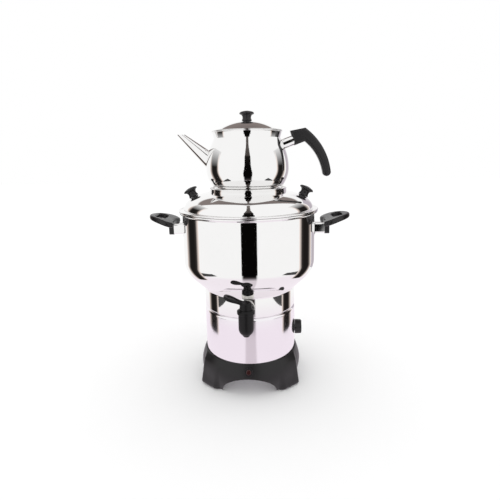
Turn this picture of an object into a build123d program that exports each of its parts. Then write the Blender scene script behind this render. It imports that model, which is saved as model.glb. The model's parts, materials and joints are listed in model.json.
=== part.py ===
from build123d import *
import math
import os

# Electric samovar with a teapot on its lid. Millimetres, +Z up, floor at Z = 0.
# The tap faces -Y. The vessel's axis stands a little behind the origin, because the tap
# reaches further forward than the lid reaches back, and the footprint is centred.

# ---- driving dimensions ------------------------------------------------------------------
AXIS_Y = 10.0                # vessel axis behind the origin
SHEET = 1.0                  # steel sheet of the vessel
THIN_SHEET = 0.8             # steel sheet of teapot and housing
LIFT_GAP = 0.3               # air between a lift-off piece and its seat
FIT = 0.05                   # radial clearance of a shaft in its hole
SNUG = 0.1                   # clearance of a fixed piece in its hole

FLOOR_GAP = 1.5              # plastic foot above the floor, taken up by the rubber pad
BASE_WALL = 3.0
LIP_TOP = 59.0
LIP_EDGE = 1.5
LIP_RADIUS = 89.8
SKIRT_MID = (94.0, 46.0)     # radius and height on the outside of the base skirt
SKIRT_LOW = (96.8, 33.0)
SKIRT_TOE = (95.0, 14.0)
SKIRT_HEM = 92.0
FOOT_SIDES = ((1, 1), (-1, 1), (-1, -1), (1, -1))
FOOT_CENTRE = (78.8, 65.5)   # middle of a foot's flat face, right and back from the axis
FOOT_FACING = 50.0           # degrees from +X towards +Y
FOOT_WIDTH = 42.0
FOOT_DEPTH = 21.0
FOOT_TOE = (2.0, 4.0)        # slant at the bottom of a foot's face, back and up
FOOT_BROW = (5.0, 28.0)      # the face leans back above this height
FOOT_TOP = (10.0, 47.0)
FOOT_EDGE = 6.0              # rounding of a foot's upright edges
ARCH_TOP = 34.0              # crown of the arch between two feet
FRONT_ARCH = 50.0            # half width at the floor of the front and rear arches
SIDE_ARCH = 44.0
VAULT_REACH = 80.0           # the arch's lining ends this far from the axis
FOOT_WEB = 3.5
DECK_TOP = 53.0              # the housing stands on the deck
DECK_HOLE = 66.0
PAD_INSET = 9.5              # pad behind the foot's face
PAD_RADIUS = 6.0
PAD_STEM = 2.5
PLATE_RADIUS = 90.0
PLATE_SHEET = 1.5
VENT_RADIUS = 3.0
SCREW_RADIUS = 1.5
POST_CENTRE = 74.0
POST_RADIUS = 4.0
POST_COUNT = 4
POST_BORE = 12.0

HOUSING_RADIUS = 87.0
HOUSING_SHOULDER = 4.0       # rounding at the joint of housing and tank
HOUSING_FLANGE = 9.0
HOUSING_BEAD = 1.3
TANK_BOTTOM = 144.0          # top of the housing, where the tank stands
NECK_TOP = 182.0             # the lower cylinder ends and the cone begins
POT_RADIUS = 124.5
CONE_TOP = 218.0
RIM_HEIGHT = 326.6
RIM_RADIUS = 128.6
RIM_ROLL = 1.7
RIM_FLARE = 4.0
BOWL_CORNER = 42.0           # rounding between cone and pot wall

DOME_BASE = 331.0
DOME_EDGE = 121.0            # the dome's foot
DOME_SHOULDER = 60.0         # centre of its elliptic section
DOME_RISE = 32.0
DOME_ARC = 79.0              # degrees of the dome's elliptic arc, from foot to collar
LID_PLUG = 6.0               # ring of the lid inside the pot
COLLAR_ROLL = 1.1
LID_EDGE = 129.6
LID_ROLL = 1.5
COLLAR_RADIUS = 72.5
COLLAR_TOP = 370.0
SHELF_HEIGHT = 366.3         # shelf in the collar that carries the teapot
SHELF_HOLE = 55.0
LID_KNOB_PLACE = 103.5       # radius of the two lid knobs

POT_BASE = SHELF_HEIGHT + LIFT_GAP
POT_BASE_RADIUS = 57.0
POT_BELLY = (77.0, 405.0)
POT_HIP = (71.6, 382.0)
POT_SHOULDER = (71.0, 439.0)
POT_KINK = (61.5, 460.5)
POT_NECK = (64.2, 471.4)
POT_RIM = 65.6
POT_ROLL = 1.2
STRAINER_HEIGHT = 421.0
STRAINER_PITCH = 2.6
STRAINER_HOLE = 1.5
DISC_THICK = 4.0
POT_LID_PLUG = 6.0
POT_LID_BASE = 472.9
POT_LID_DOME = 58.0
POT_LID_RISE = 18.4

SPOUT_MOUTH = (-124.5, 469.0)   # X and Z of the mouth's centre
SPOUT_RISE = 41.7               # degrees above the horizontal
SPOUT_LENGTH = 82.0
SPOUT_MOUTH_RADIUS = 4.5
SPOUT_ROOT_RADIUS = 16.4

FERRULE_FOOT = (66.0, 448.0)    # X and Z where the ferrule's axis meets the body
FERRULE_RISE = 19.5
FERRULE_LENGTH = 24.0
FERRULE_WIDE = 8.0
FERRULE_TALL = 9.3
STUD_RADIUS = 3.0
STUD_REACH = 14.0
HANDLE_HALF_WIDTH = 9.0
HANDLE_EDGE = 5.0
HANDLE_HEEL = (79.0, 472.0)     # outline of the handle, X and Z
HANDLE_CORNER = (107.0, 477.0)
HANDLE_BACK = (138.0, 443.0)
HANDLE_TIP_OUT = (154.0, 396.0)
HANDLE_TIP = (147.0, 388.5)
HANDLE_TIP_IN = (139.0, 394.0)
HANDLE_BELLY = (128.0, 426.0)
HANDLE_CROOK = (106.0, 452.5)
HANDLE_CHIN = (87.0, 445.5)

KNOB_HEIGHT = 18.5
KNOB_HEAD = 13.6
KNOB_WAIST = 7.9
KNOB_FOOT = 9.2
KNOB_SCREW = 2.0
KNOB_SCREW_DEPTH = 11.0

HANDLE_HEIGHT = 292.5        # side handles, middle of the bracket
BRACKET_DEPTH = 24.0
BRACKET_TALL = 20.0
BRACKET_END = 143.0
GRIP_THICK = 9.6
GRIP_SPAN = 78.0
SLOT_INNER = 160.0
SLOT_OUTER = 176.5
SLOT_LENGTH = 40.0
GRIP_ROOT = (132.0, 303.5)   # top line of the grip, X and Z
GRIP_CREST = (163.0, 316.0)
GRIP_NOSE = (192.0, 321.5)
GRIP_OUTLINE = ((190, 0), (182, 22), (165, 36), (148, GRIP_SPAN / 2), (140, 33), (143, 16))
GRIP_WAIST = 145.0           # X of the wing's inner edge on its middle line
GRIP_EDGE = 3.6
GRIP_FOOT = 8.5              # thickness of the grip's foot on the bracket
HANDLE_SCREW = 2.5
BRACKET_SHEET = 1.5
PAD_SHEET = 1.2

TAP_REACH = 135.0            # tap axis in front of the vessel axis
TAP_Y = AXIS_Y - TAP_REACH
NOZZLE_TIP = 136.0
TAP_INLET = 165.0            # height of the tap's inlet pipe
TAP_RADIUS = 12.6
CAP_BASE = 175.0
CAP_TOP = 182.0
CAP_RADIUS = 14.6
PLUG_RADIUS = 7.0
STEM_RADIUS = 5.0
PIPE_RADIUS = 8.0
PIPE_COLLAR = 9.5
PIPE_BORE = 5.5
PIPE_END = 76.0              # inner end of the inlet pipe, from the vessel axis
NOZZLE_RADIUS = 5.2
NOZZLE_BORE = 4.0
PLUG_BOTTOM = 152.0
SEAL_THICK = 2.0
STEM_TOP = 189.0
HUB_RADIUS = 10.5
HUB_TOP = 194.0
LEVER_LENGTH = 38.6
LEVER_HALF = 9.0
LEVER_NECK = 6.0
LEVER_THICK = 5.0
WASHER_RADIUS = 13.0
WASHER_THICK = 1.5
TAP_NUT_RADIUS = 13.0
LEVER_REACH = 36.0
LEVER_RISE = 14.0

DIAL_HEIGHT = 92.0
DIAL_RADIUS = 13.8
DIAL_FACE = 100.5
SHAFT_RADIUS = 3.0
SHAFT_FLAT = 1.0
BUSH_RADIUS = 5.0
BUSH_NUT = 2.5
DIAL_FLUTES = 12

INLET_HEIGHT = 98.0
INLET_SCREWS = 40.0          # distance between the inlet's screws
INLET_BODY = (20.0, 27.0)    # width and height of the inlet's body in the housing wall
SOCKET_OUTLINE = ((-8, -12), (8, -12), (8, 8), (4, 12), (-4, 12), (-8, 8))
SOCKET_DEPTH = 16.0
PIN_PLACES = ((0, 7), (0, 0), (0, -7))
PIN_SIZE = (4.0, 2.0)
PIN_RECESS = 6.0             # the pins end this far inside the socket's mouth
PILOT_HEIGHT = 47.0
PILOT_RADIUS = 5.0
BEZEL_RADIUS = 8.0
PILOT_REACH = 93.9           # the skirt's outside at the pilot light, from the axis
PILOT_TILT = 17.0
BEZEL_PROUD = 1.6
LAMP_RADIUS = 3.0

ELEMENT_RADIUS = 55.0
ELEMENT_TUBE = 4.0
ELEMENT_HEIGHT = 158.0
ELEMENT_GAP = 40.0           # degrees left open at the rear of the heating loop
LEG_ANGLES = [90 - ELEMENT_GAP / 2, 90 + ELEMENT_GAP / 2]
LEG_END = 130.0
FERRULE_RADIUS = 7.5
GASKET_THICK = 2.0
NUT_RADIUS = 8.5
NUT_HEIGHT = 5.0
CUTOUT_RADIUS = 12.0

VESSEL_AXIS = Axis((0, AXIS_Y, 0), (0, 0, 1))
TAP_AXIS = Axis((0, TAP_Y, 0), (0, 0, 1))
RIGHT, LEFT = 1, -1


# ---- planes ------------------------------------------------------------------------------
def radial_plane(degrees=0.0):
    """Upright plane through the vessel axis: local X points outward, local Y up."""
    angle = math.radians(degrees)
    outward = (math.cos(angle), math.sin(angle), 0)
    sideways = (math.sin(angle), -math.cos(angle), 0)
    return Plane(origin=(0, AXIS_Y, 0), x_dir=outward, z_dir=sideways)


def level(height, centre=(0.0, AXIS_Y)):
    """Horizontal plane at a height, centred on the vessel axis unless told otherwise."""
    return Plane(origin=(centre[0], centre[1], height))


def polar(radius, degrees, height):
    """Point at a radius and an angle round the vessel axis."""
    angle = math.radians(degrees)
    return (radius * math.cos(angle), AXIS_Y + radius * math.sin(angle), height)


def front_plane(reach, height, x=0.0, tilt=0.0):
    """Plane in front of the vessel axis, facing the user and tilted up by some degrees."""
    angle = math.radians(tilt)
    facing = (0, -math.cos(angle), math.sin(angle))
    return Plane(origin=(x, AXIS_Y - reach, height), x_dir=(1, 0, 0), z_dir=facing)


def leaning_plane(place, height, lean):
    """Upright XZ plane with its origin at an X place; local Y leans towards +X by some degrees."""
    angle = math.radians(lean)
    return Plane(
        origin=(place, AXIS_Y, height),
        x_dir=(math.cos(angle), 0, -math.sin(angle)),
        z_dir=(0, -1, 0),
    )


def write(builder, name):
    """Labels a finished piece and writes it."""
    builder.part.label = name
    export_step(builder.part, f"parts/{name}.step")


os.makedirs("parts", exist_ok=True)
POST_ANGLES = [45.0 + 360.0 / POST_COUNT * index for index in range(POST_COUNT)]
ARCHES = [(radial_plane(0), FRONT_ARCH), (radial_plane(90), SIDE_ARCH)]
PLATE_HEIGHT = ARCH_TOP + BASE_WALL + 0.2
PILOT_PLANE = front_plane(PILOT_REACH, PILOT_HEIGHT, tilt=PILOT_TILT)

# ---- base --------------------------------------------------------------------------------
def foot_plane(side):
    """Upright plane through the middle of a foot: local X points out of its flat face."""
    angle = math.radians(FOOT_FACING)
    right, back = side
    outward = (right * math.cos(angle), back * math.sin(angle), 0)
    return Plane(
        origin=(right * FOOT_CENTRE[0], AXIS_Y + back * FOOT_CENTRE[1], 0),
        x_dir=outward,
        z_dir=(outward[1], -outward[0], 0),
    )


def pad_spot(side):
    """Centre of the rubber pad under a foot."""
    spot = foot_plane(side).from_local_coords((-PAD_INSET, 0, 0))
    return (spot.X, spot.Y)


def foot_block(side):
    """Square-faced foot standing proud of the skirt, with rounded upright edges."""
    with BuildPart() as foot:
        with BuildSketch(foot_plane(side)):
            with BuildLine():
                Polyline(
                    (-FOOT_DEPTH, FLOOR_GAP),
                    (-FOOT_TOE[0], FLOOR_GAP),
                    (0, FLOOR_GAP + FOOT_TOE[1]),
                    (-FOOT_BROW[0], FOOT_BROW[1]),
                    (-FOOT_TOP[0], FOOT_TOP[1]),
                    (-FOOT_DEPTH, FOOT_TOP[1]),
                    close=True,
                )
            make_face()
        extrude(amount=FOOT_WIDTH / 2, both=True)
        upright = [
            edge
            for edge in foot.edges()
            if abs(edge.tangent_at(0.5).Z) > 0.9
            and foot_plane(side).to_local_coords(edge.center()).X > -FOOT_DEPTH / 2
        ]
        fillet(upright, radius=FOOT_EDGE)
    return foot.part


# Block of the base before it is hollowed: a flared skirt and four square-faced feet.
with BuildPart() as base_block:
    with BuildSketch(radial_plane()):
        with BuildLine():
            Line((0, FLOOR_GAP), (SKIRT_HEM, FLOOR_GAP))
            Spline(
                (SKIRT_HEM, FLOOR_GAP), SKIRT_TOE, SKIRT_LOW, SKIRT_MID, (LIP_RADIUS, LIP_TOP - LIP_EDGE)
            )
            Polyline(
                (LIP_RADIUS, LIP_TOP - LIP_EDGE),
                (LIP_RADIUS - LIP_EDGE, LIP_TOP),
                (0, LIP_TOP),
                (0, FLOOR_GAP),
            )
        make_face()
    revolve(axis=VESSEL_AXIS)
    for foot_side in FOOT_SIDES:
        add(foot_block(foot_side))

# The hollow inside the block, lined along the arches so that each foot is a closed cup.
with BuildPart() as base_hollow:
    with BuildSketch(radial_plane()):
        with BuildLine():
            Polyline(
                (0, FLOOR_GAP + FOOT_WEB),
                (SKIRT_HEM - BASE_WALL, FLOOR_GAP + FOOT_WEB),
                (SKIRT_TOE[0] - BASE_WALL, SKIRT_TOE[1]),
                (SKIRT_LOW[0] - BASE_WALL, SKIRT_LOW[1]),
                (SKIRT_MID[0] - BASE_WALL, SKIRT_MID[1]),
                (LIP_RADIUS - BASE_WALL, DECK_TOP - BASE_WALL),
                (0, DECK_TOP - BASE_WALL),
                close=True,
            )
        make_face()
    revolve(axis=VESSEL_AXIS)
    for arch_plane, half_width in ARCHES:
        with BuildSketch(arch_plane):
            Ellipse(half_width + BASE_WALL, ARCH_TOP + BASE_WALL)
        extrude(amount=2 * SKIRT_LOW[0], both=True, mode=Mode.SUBTRACT)
    with BuildSketch(level(0)):
        Circle(VAULT_REACH)
    extrude(amount=DECK_TOP - BASE_WALL)

with BuildPart() as base_shell:
    add(base_block.part)
    for arch_plane, half_width in ARCHES:
        with BuildSketch(arch_plane):
            Ellipse(half_width, ARCH_TOP)
        extrude(amount=2 * SKIRT_LOW[0], both=True, mode=Mode.SUBTRACT)
    add(base_hollow.part, mode=Mode.SUBTRACT)
    with BuildSketch(level(DECK_TOP)):
        Circle(HOUSING_RADIUS + SNUG)
    extrude(amount=LIP_TOP, mode=Mode.SUBTRACT)
    with BuildSketch(level(DECK_TOP - 2 * BASE_WALL)):
        Circle(DECK_HOLE)
    extrude(amount=LIP_TOP, mode=Mode.SUBTRACT)
    for post_angle in POST_ANGLES:
        post_spot = polar(POST_CENTRE, post_angle, 0)[:2]
        with BuildSketch(level(PLATE_HEIGHT + PLATE_SHEET, post_spot)):
            Circle(POST_RADIUS)
        extrude(amount=DECK_TOP - BASE_WALL / 2 - PLATE_HEIGHT - PLATE_SHEET)
        with BuildSketch(level(PLATE_HEIGHT, post_spot)):
            Circle(SCREW_RADIUS)
        extrude(amount=POST_BORE, mode=Mode.SUBTRACT)
    for foot_side in FOOT_SIDES:
        with BuildSketch(level(0, pad_spot(foot_side))):
            Circle(PAD_STEM)
        extrude(amount=FLOOR_GAP + 2 * FOOT_WEB, mode=Mode.SUBTRACT)
    with BuildSketch(PILOT_PLANE.offset(-4 * BASE_WALL)):
        Circle(PILOT_RADIUS + SNUG)
    extrude(amount=8 * BASE_WALL, mode=Mode.SUBTRACT)
write(base_shell, "base_shell")

# Rubber pads: a disc under each foot and a stem pushed through its web.
with BuildPart() as foot_pads:
    for foot_side in FOOT_SIDES:
        with BuildSketch(level(0, pad_spot(foot_side))):
            Circle(PAD_RADIUS)
        extrude(amount=FLOOR_GAP)
        with BuildSketch(level(0, pad_spot(foot_side))):
            Circle(PAD_STEM - SNUG)
        extrude(amount=FLOOR_GAP + FOOT_WEB + PAD_STEM)
write(foot_pads, "foot_pads")

# Steel plate that closes the base from below, with vent holes.
with BuildPart() as base_plate:
    with BuildSketch(level(PLATE_HEIGHT)):
        Circle(PLATE_RADIUS)
        with PolarLocations(PLATE_RADIUS / 2, 12):
            Circle(VENT_RADIUS, mode=Mode.SUBTRACT)
        with PolarLocations(POST_CENTRE, POST_COUNT, start_angle=POST_ANGLES[0]):
            Circle(SCREW_RADIUS + SNUG, mode=Mode.SUBTRACT)
    extrude(amount=PLATE_SHEET)
write(base_plate, "base_plate")


def pan_screw(plane, shank, head_radius, head_height, length):
    """Pan-head screw: the head stands under the plane, the shank runs along its normal."""
    with BuildPart() as screw:
        with BuildSketch(plane):
            Circle(head_radius)
        extrude(amount=-head_height)
        fillet(screw.faces().sort_by(Axis(plane.origin, plane.z_dir))[0].edges(), head_height * 0.6)
        with BuildSketch(plane):
            Circle(shank)
        extrude(amount=length)
        with BuildSketch(plane.offset(-head_height)):
            Rectangle(head_radius * 1.2, head_radius * 0.28)
            Rectangle(head_radius * 0.28, head_radius * 1.2)
        extrude(amount=head_height * 0.45, mode=Mode.SUBTRACT)
    return screw.part


with BuildPart() as base_screws:
    for post_angle in POST_ANGLES:
        add(pan_screw(level(PLATE_HEIGHT, polar(POST_CENTRE, post_angle, 0)[:2]),
                      SCREW_RADIUS - SNUG, 3.0, 2.0, 10.0))
write(base_screws, "base_screws")

# Pilot light, square to the sloping skirt: bezel, lens in the bezel, neon capsule behind.
with BuildPart() as pilot_bezel:
    with BuildSketch(PILOT_PLANE.offset(-BASE_WALL)):
        Circle(BEZEL_RADIUS)
    extrude(amount=BASE_WALL + BEZEL_PROUD)
    fillet(pilot_bezel.edges().sort_by(Axis(PILOT_PLANE.origin, PILOT_PLANE.z_dir))[-1], radius=0.9)
    with BuildSketch(PILOT_PLANE.offset(-BASE_WALL - 1)):
        Circle(PILOT_RADIUS + SNUG)
    extrude(amount=BASE_WALL + BEZEL_PROUD + 2, mode=Mode.SUBTRACT)
    add(base_block.part, mode=Mode.SUBTRACT)
write(pilot_bezel, "pilot_bezel")

with BuildPart() as pilot_lens:
    with BuildSketch(PILOT_PLANE.offset(-BASE_WALL - 2)):
        Circle(PILOT_RADIUS)
    extrude(amount=BASE_WALL + 2 + BEZEL_PROUD + 0.8)
    fillet(pilot_lens.edges().sort_by(Axis(PILOT_PLANE.origin, PILOT_PLANE.z_dir))[-1], radius=1.6)
write(pilot_lens, "pilot_lens")

with BuildPart() as pilot_lamp:
    with BuildSketch(PILOT_PLANE.offset(-BASE_WALL - 2)):
        Circle(LAMP_RADIUS)
    extrude(amount=-11)
    fillet(pilot_lamp.edges().sort_by(Axis(PILOT_PLANE.origin, PILOT_PLANE.z_dir))[0], radius=1.5)
write(pilot_lamp, "pilot_lamp")

# ---- lower housing -----------------------------------------------------------------------
with BuildPart() as lower_housing:
    with BuildSketch(radial_plane()):
        with BuildLine():
            FilletPolyline(
                (HOUSING_RADIUS, DECK_TOP),
                (HOUSING_RADIUS, TANK_BOTTOM),
                (HOUSING_RADIUS - HOUSING_FLANGE, TANK_BOTTOM),
                radius=HOUSING_SHOULDER,
            )
            offset(amount=THIN_SHEET, side=Side.LEFT)
        make_face()
    revolve(axis=VESSEL_AXIS)
    with BuildSketch(radial_plane()):
        with Locations((HOUSING_RADIUS - 0.4, TANK_BOTTOM - HOUSING_SHOULDER)):
            Circle(HOUSING_BEAD)
    revolve(axis=VESSEL_AXIS)
    with BuildSketch(Plane(origin=(0, AXIS_Y, DIAL_HEIGHT), x_dir=(0, 1, 0), z_dir=(1, 0, 0))):
        Circle(BUSH_RADIUS + SNUG)
    extrude(amount=2 * HOUSING_RADIUS, mode=Mode.SUBTRACT)
    with BuildSketch(Plane(origin=(0, AXIS_Y, INLET_HEIGHT), x_dir=(1, 0, 0), z_dir=(0, 1, 0))):
        Rectangle(INLET_BODY[0] + 2 * SNUG, INLET_BODY[1] + 2 * SNUG)
        with GridLocations(0, INLET_SCREWS, 1, 2):
            Circle(SCREW_RADIUS + SNUG)
    extrude(amount=2 * HOUSING_RADIUS, mode=Mode.SUBTRACT)
write(lower_housing, "lower_housing")

# ---- tank --------------------------------------------------------------------------------
with BuildPart() as tank:
    with BuildSketch(radial_plane()):
        with BuildLine():
            FilletPolyline(
                (0, TANK_BOTTOM),
                (HOUSING_RADIUS, TANK_BOTTOM),
                (HOUSING_RADIUS, NECK_TOP),
                (POT_RADIUS, CONE_TOP),
                (POT_RADIUS, RIM_HEIGHT - RIM_FLARE),
                (RIM_RADIUS, RIM_HEIGHT),
                radius=[HOUSING_SHOULDER, 5, BOWL_CORNER, 3],
            )
            offset(amount=SHEET, side=Side.LEFT)
        make_face()
    revolve(axis=VESSEL_AXIS)
    with BuildSketch(radial_plane()):
        with Locations((RIM_RADIUS, RIM_HEIGHT)):
            Circle(RIM_ROLL)
    revolve(axis=VESSEL_AXIS)
    with BuildSketch(front_plane(0, TAP_INLET)):
        Circle(PIPE_RADIUS + SNUG)
    extrude(amount=POT_RADIUS, mode=Mode.SUBTRACT)
    for leg_angle in LEG_ANGLES:
        with BuildSketch(level(TANK_BOTTOM - 1, polar(ELEMENT_RADIUS, leg_angle, 0)[:2])):
            Circle(ELEMENT_TUBE + SNUG)
        extrude(amount=SHEET + 2, mode=Mode.SUBTRACT)
write(tank, "tank")

# ---- heating and control -----------------------------------------------------------------
# Tubular heating element: an open loop above the tank floor, two legs down through it.
with BuildPart() as heating_element:
    with BuildSketch(radial_plane(LEG_ANGLES[1])):
        with Locations((ELEMENT_RADIUS, ELEMENT_HEIGHT)):
            Circle(ELEMENT_TUBE)
    revolve(axis=VESSEL_AXIS, revolution_arc=360 - ELEMENT_GAP)
    for leg_angle in LEG_ANGLES:
        leg = polar(ELEMENT_RADIUS, leg_angle, ELEMENT_HEIGHT)
        with Locations(leg):
            Sphere(ELEMENT_TUBE)
        with BuildSketch(level(ELEMENT_HEIGHT, leg[:2])):
            Circle(ELEMENT_TUBE)
        extrude(amount=-(ELEMENT_HEIGHT - LEG_END))
        with BuildSketch(level(TANK_BOTTOM + SHEET, leg[:2])):
            Circle(FERRULE_RADIUS)
        extrude(amount=GASKET_THICK)
write(heating_element, "heating_element")

with BuildPart() as element_gaskets:
    for leg_angle in LEG_ANGLES:
        with BuildSketch(level(TANK_BOTTOM, polar(ELEMENT_RADIUS, leg_angle, 0)[:2])):
            Circle(FERRULE_RADIUS)
            Circle(ELEMENT_TUBE + SNUG, mode=Mode.SUBTRACT)
        extrude(amount=-GASKET_THICK)
write(element_gaskets, "element_gaskets")

with BuildPart() as element_nuts:
    for leg_angle in LEG_ANGLES:
        with BuildSketch(level(TANK_BOTTOM - GASKET_THICK, polar(ELEMENT_RADIUS, leg_angle, 0)[:2])):
            RegularPolygon(NUT_RADIUS, 6)
            Circle(ELEMENT_TUBE + SNUG, mode=Mode.SUBTRACT)
        extrude(amount=-NUT_HEIGHT)
write(element_nuts, "element_nuts")

# Thermal cut-out clamped under the middle of the tank floor.
with BuildPart() as thermal_cutout:
    with BuildSketch(level(TANK_BOTTOM)):
        Circle(CUTOUT_RADIUS)
    extrude(amount=-2.5)
    with BuildSketch(level(TANK_BOTTOM - 2.5)):
        Circle(CUTOUT_RADIUS * 0.72)
    extrude(amount=-8)
    with BuildSketch(level(TANK_BOTTOM - 10.5)):
        with GridLocations(CUTOUT_RADIUS, 0, 2, 1):
            Rectangle(0.8, 6.3)
    extrude(amount=-8)
write(thermal_cutout, "thermal_cutout")

# Terminal block on the base plate: a body and four screw towers.
with BuildPart() as terminal_block:
    with BuildSketch(level(PLATE_HEIGHT + PLATE_SHEET, (0, AXIS_Y + 22))):
        Rectangle(46, 16)
    extrude(amount=6)
    with BuildSketch(level(PLATE_HEIGHT + PLATE_SHEET + 6, (0, AXIS_Y + 22))):
        with GridLocations(11, 0, 4, 1):
            Rectangle(8, 12)
    extrude(amount=6)
    with BuildSketch(level(PLATE_HEIGHT + PLATE_SHEET + 8, (0, AXIS_Y + 22))):
        with GridLocations(11, 0, 4, 1):
            Circle(2.2)
    extrude(amount=6, mode=Mode.SUBTRACT)
write(terminal_block, "terminal_block")


def side_plane(reach, height):
    """Upright plane to the right of the vessel axis, facing outward."""
    return Plane(origin=(reach, AXIS_Y, height), x_dir=(0, 1, 0), z_dir=(1, 0, 0))


THERMOSTAT_FACE = HOUSING_RADIUS - THIN_SHEET - 2.5
with BuildPart() as thermostat_body:
    with BuildSketch(side_plane(THERMOSTAT_FACE, DIAL_HEIGHT)):
        Rectangle(30, 30)
    extrude(amount=-22)
    fillet(thermostat_body.edges().filter_by(Axis.X), radius=3)
    with BuildSketch(side_plane(THERMOSTAT_FACE, DIAL_HEIGHT)):
        Circle(BUSH_RADIUS)
    extrude(amount=HOUSING_RADIUS + BUSH_NUT + 0.5 - THERMOSTAT_FACE)
    with BuildSketch(side_plane(THERMOSTAT_FACE - 14, DIAL_HEIGHT)):
        Circle(SHAFT_RADIUS + FIT)
    extrude(amount=30, mode=Mode.SUBTRACT)
    with BuildSketch(side_plane(THERMOSTAT_FACE - 22, DIAL_HEIGHT - 6)):
        with GridLocations(12, 0, 3, 1):
            Rectangle(0.8, 6.3)
    extrude(amount=-8)
write(thermostat_body, "thermostat_body")

with BuildPart() as thermostat_nut:
    with BuildSketch(side_plane(HOUSING_RADIUS, DIAL_HEIGHT)):
        RegularPolygon(BUSH_RADIUS + 3, 6)
        Circle(BUSH_RADIUS + SNUG, mode=Mode.SUBTRACT)
    extrude(amount=BUSH_NUT)
write(thermostat_nut, "thermostat_nut")

with BuildPart() as thermostat_shaft:
    with BuildSketch(side_plane(THERMOSTAT_FACE - 13, DIAL_HEIGHT)):
        Circle(SHAFT_RADIUS)
    extrude(amount=DIAL_FACE - 4 - THERMOSTAT_FACE + 13)
    with BuildSketch(side_plane(HOUSING_RADIUS + BUSH_NUT + 1.5, DIAL_HEIGHT + SHAFT_RADIUS)):
        Rectangle(2 * SHAFT_RADIUS, 2 * SHAFT_FLAT)
    extrude(amount=DIAL_FACE, mode=Mode.SUBTRACT)
write(thermostat_shaft, "thermostat_shaft")

# Knob with finger flutes and a pointer ridge, hollow over the bush nut.
DIAL_BACK = HOUSING_RADIUS + 1.0
with BuildPart() as thermostat_knob:
    with BuildSketch(side_plane(DIAL_BACK, DIAL_HEIGHT)):
        Circle(DIAL_RADIUS)
    extrude(amount=DIAL_FACE - DIAL_BACK, taper=2)
    fillet(thermostat_knob.faces().sort_by(Axis.X)[-1].edges(), radius=2)
    with BuildSketch(side_plane(DIAL_BACK + 3, DIAL_HEIGHT)):
        with PolarLocations(DIAL_RADIUS + 1.2, DIAL_FLUTES, start_angle=180 / DIAL_FLUTES):
            Circle(2)
    extrude(amount=DIAL_FACE, mode=Mode.SUBTRACT)
    with BuildSketch(side_plane(DIAL_FACE - 0.4, DIAL_HEIGHT + DIAL_RADIUS / 2)):
        Rectangle(1.6, DIAL_RADIUS * 0.7)
    extrude(amount=0.9)
    with BuildSketch(side_plane(DIAL_BACK, DIAL_HEIGHT)):
        Circle(BUSH_RADIUS + 4)
    extrude(amount=BUSH_NUT + 1, mode=Mode.SUBTRACT)
    with BuildSketch(side_plane(DIAL_BACK, DIAL_HEIGHT)):
        Circle(SHAFT_RADIUS + SNUG)
    extrude(amount=DIAL_FACE - 3.5 - DIAL_BACK, mode=Mode.SUBTRACT)
write(thermostat_knob, "thermostat_knob")


def rear_plane(reach, height):
    """Upright plane behind the vessel axis, facing backward."""
    return Plane(origin=(0, AXIS_Y + reach, height), x_dir=(-1, 0, 0), z_dir=(0, 1, 0))


# Power inlet: flange bent to the housing, body through the wall, hollow socket.
INLET_BACK = HOUSING_RADIUS - 24
INLET_FACE = HOUSING_RADIUS + 3.2
with BuildPart() as power_inlet:
    with BuildSketch(rear_plane(HOUSING_RADIUS - 4, INLET_HEIGHT)):
        RectangleRounded(24, 50, 5)
    extrude(amount=INLET_FACE - HOUSING_RADIUS + 4)
    with BuildSketch(level(0)):
        Circle(HOUSING_RADIUS)
    extrude(amount=TANK_BOTTOM, mode=Mode.SUBTRACT)
    with BuildSketch(rear_plane(INLET_BACK, INLET_HEIGHT)):
        Rectangle(*INLET_BODY)
    extrude(amount=INLET_FACE - INLET_BACK)
    with BuildSketch(rear_plane(INLET_FACE - SOCKET_DEPTH, INLET_HEIGHT)):
        Polygon(*SOCKET_OUTLINE, align=None)
    extrude(amount=SOCKET_DEPTH + 1, mode=Mode.SUBTRACT)
    with BuildSketch(rear_plane(INLET_BACK, INLET_HEIGHT)):
        for pin_place in PIN_PLACES:
            with Locations(pin_place):
                Rectangle(PIN_SIZE[0] + 2 * SNUG, PIN_SIZE[1] + 2 * SNUG)
    extrude(amount=INLET_FACE - INLET_BACK, mode=Mode.SUBTRACT)
    with BuildSketch(rear_plane(HOUSING_RADIUS - 5, INLET_HEIGHT)):
        with GridLocations(0, INLET_SCREWS, 1, 2):
            Circle(SCREW_RADIUS + SNUG)
    extrude(amount=INLET_FACE, mode=Mode.SUBTRACT)
write(power_inlet, "power_inlet")

with BuildPart() as inlet_pins:
    for pin_place in PIN_PLACES:
        with BuildSketch(rear_plane(INLET_BACK - 9, INLET_HEIGHT)):
            with Locations(pin_place):
                Rectangle(*PIN_SIZE)
        extrude(amount=INLET_FACE - PIN_RECESS - INLET_BACK + 9)
write(inlet_pins, "inlet_pins")

with BuildPart() as inlet_screws:
    for screw_height in (INLET_HEIGHT - INLET_SCREWS / 2, INLET_HEIGHT + INLET_SCREWS / 2):
        inward = Plane(origin=(0, AXIS_Y + INLET_FACE, screw_height), x_dir=(1, 0, 0), z_dir=(0, -1, 0))
        add(pan_screw(inward, SCREW_RADIUS - SNUG, 3.0, 1.8, 9.0))
write(inlet_screws, "inlet_screws")

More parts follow.
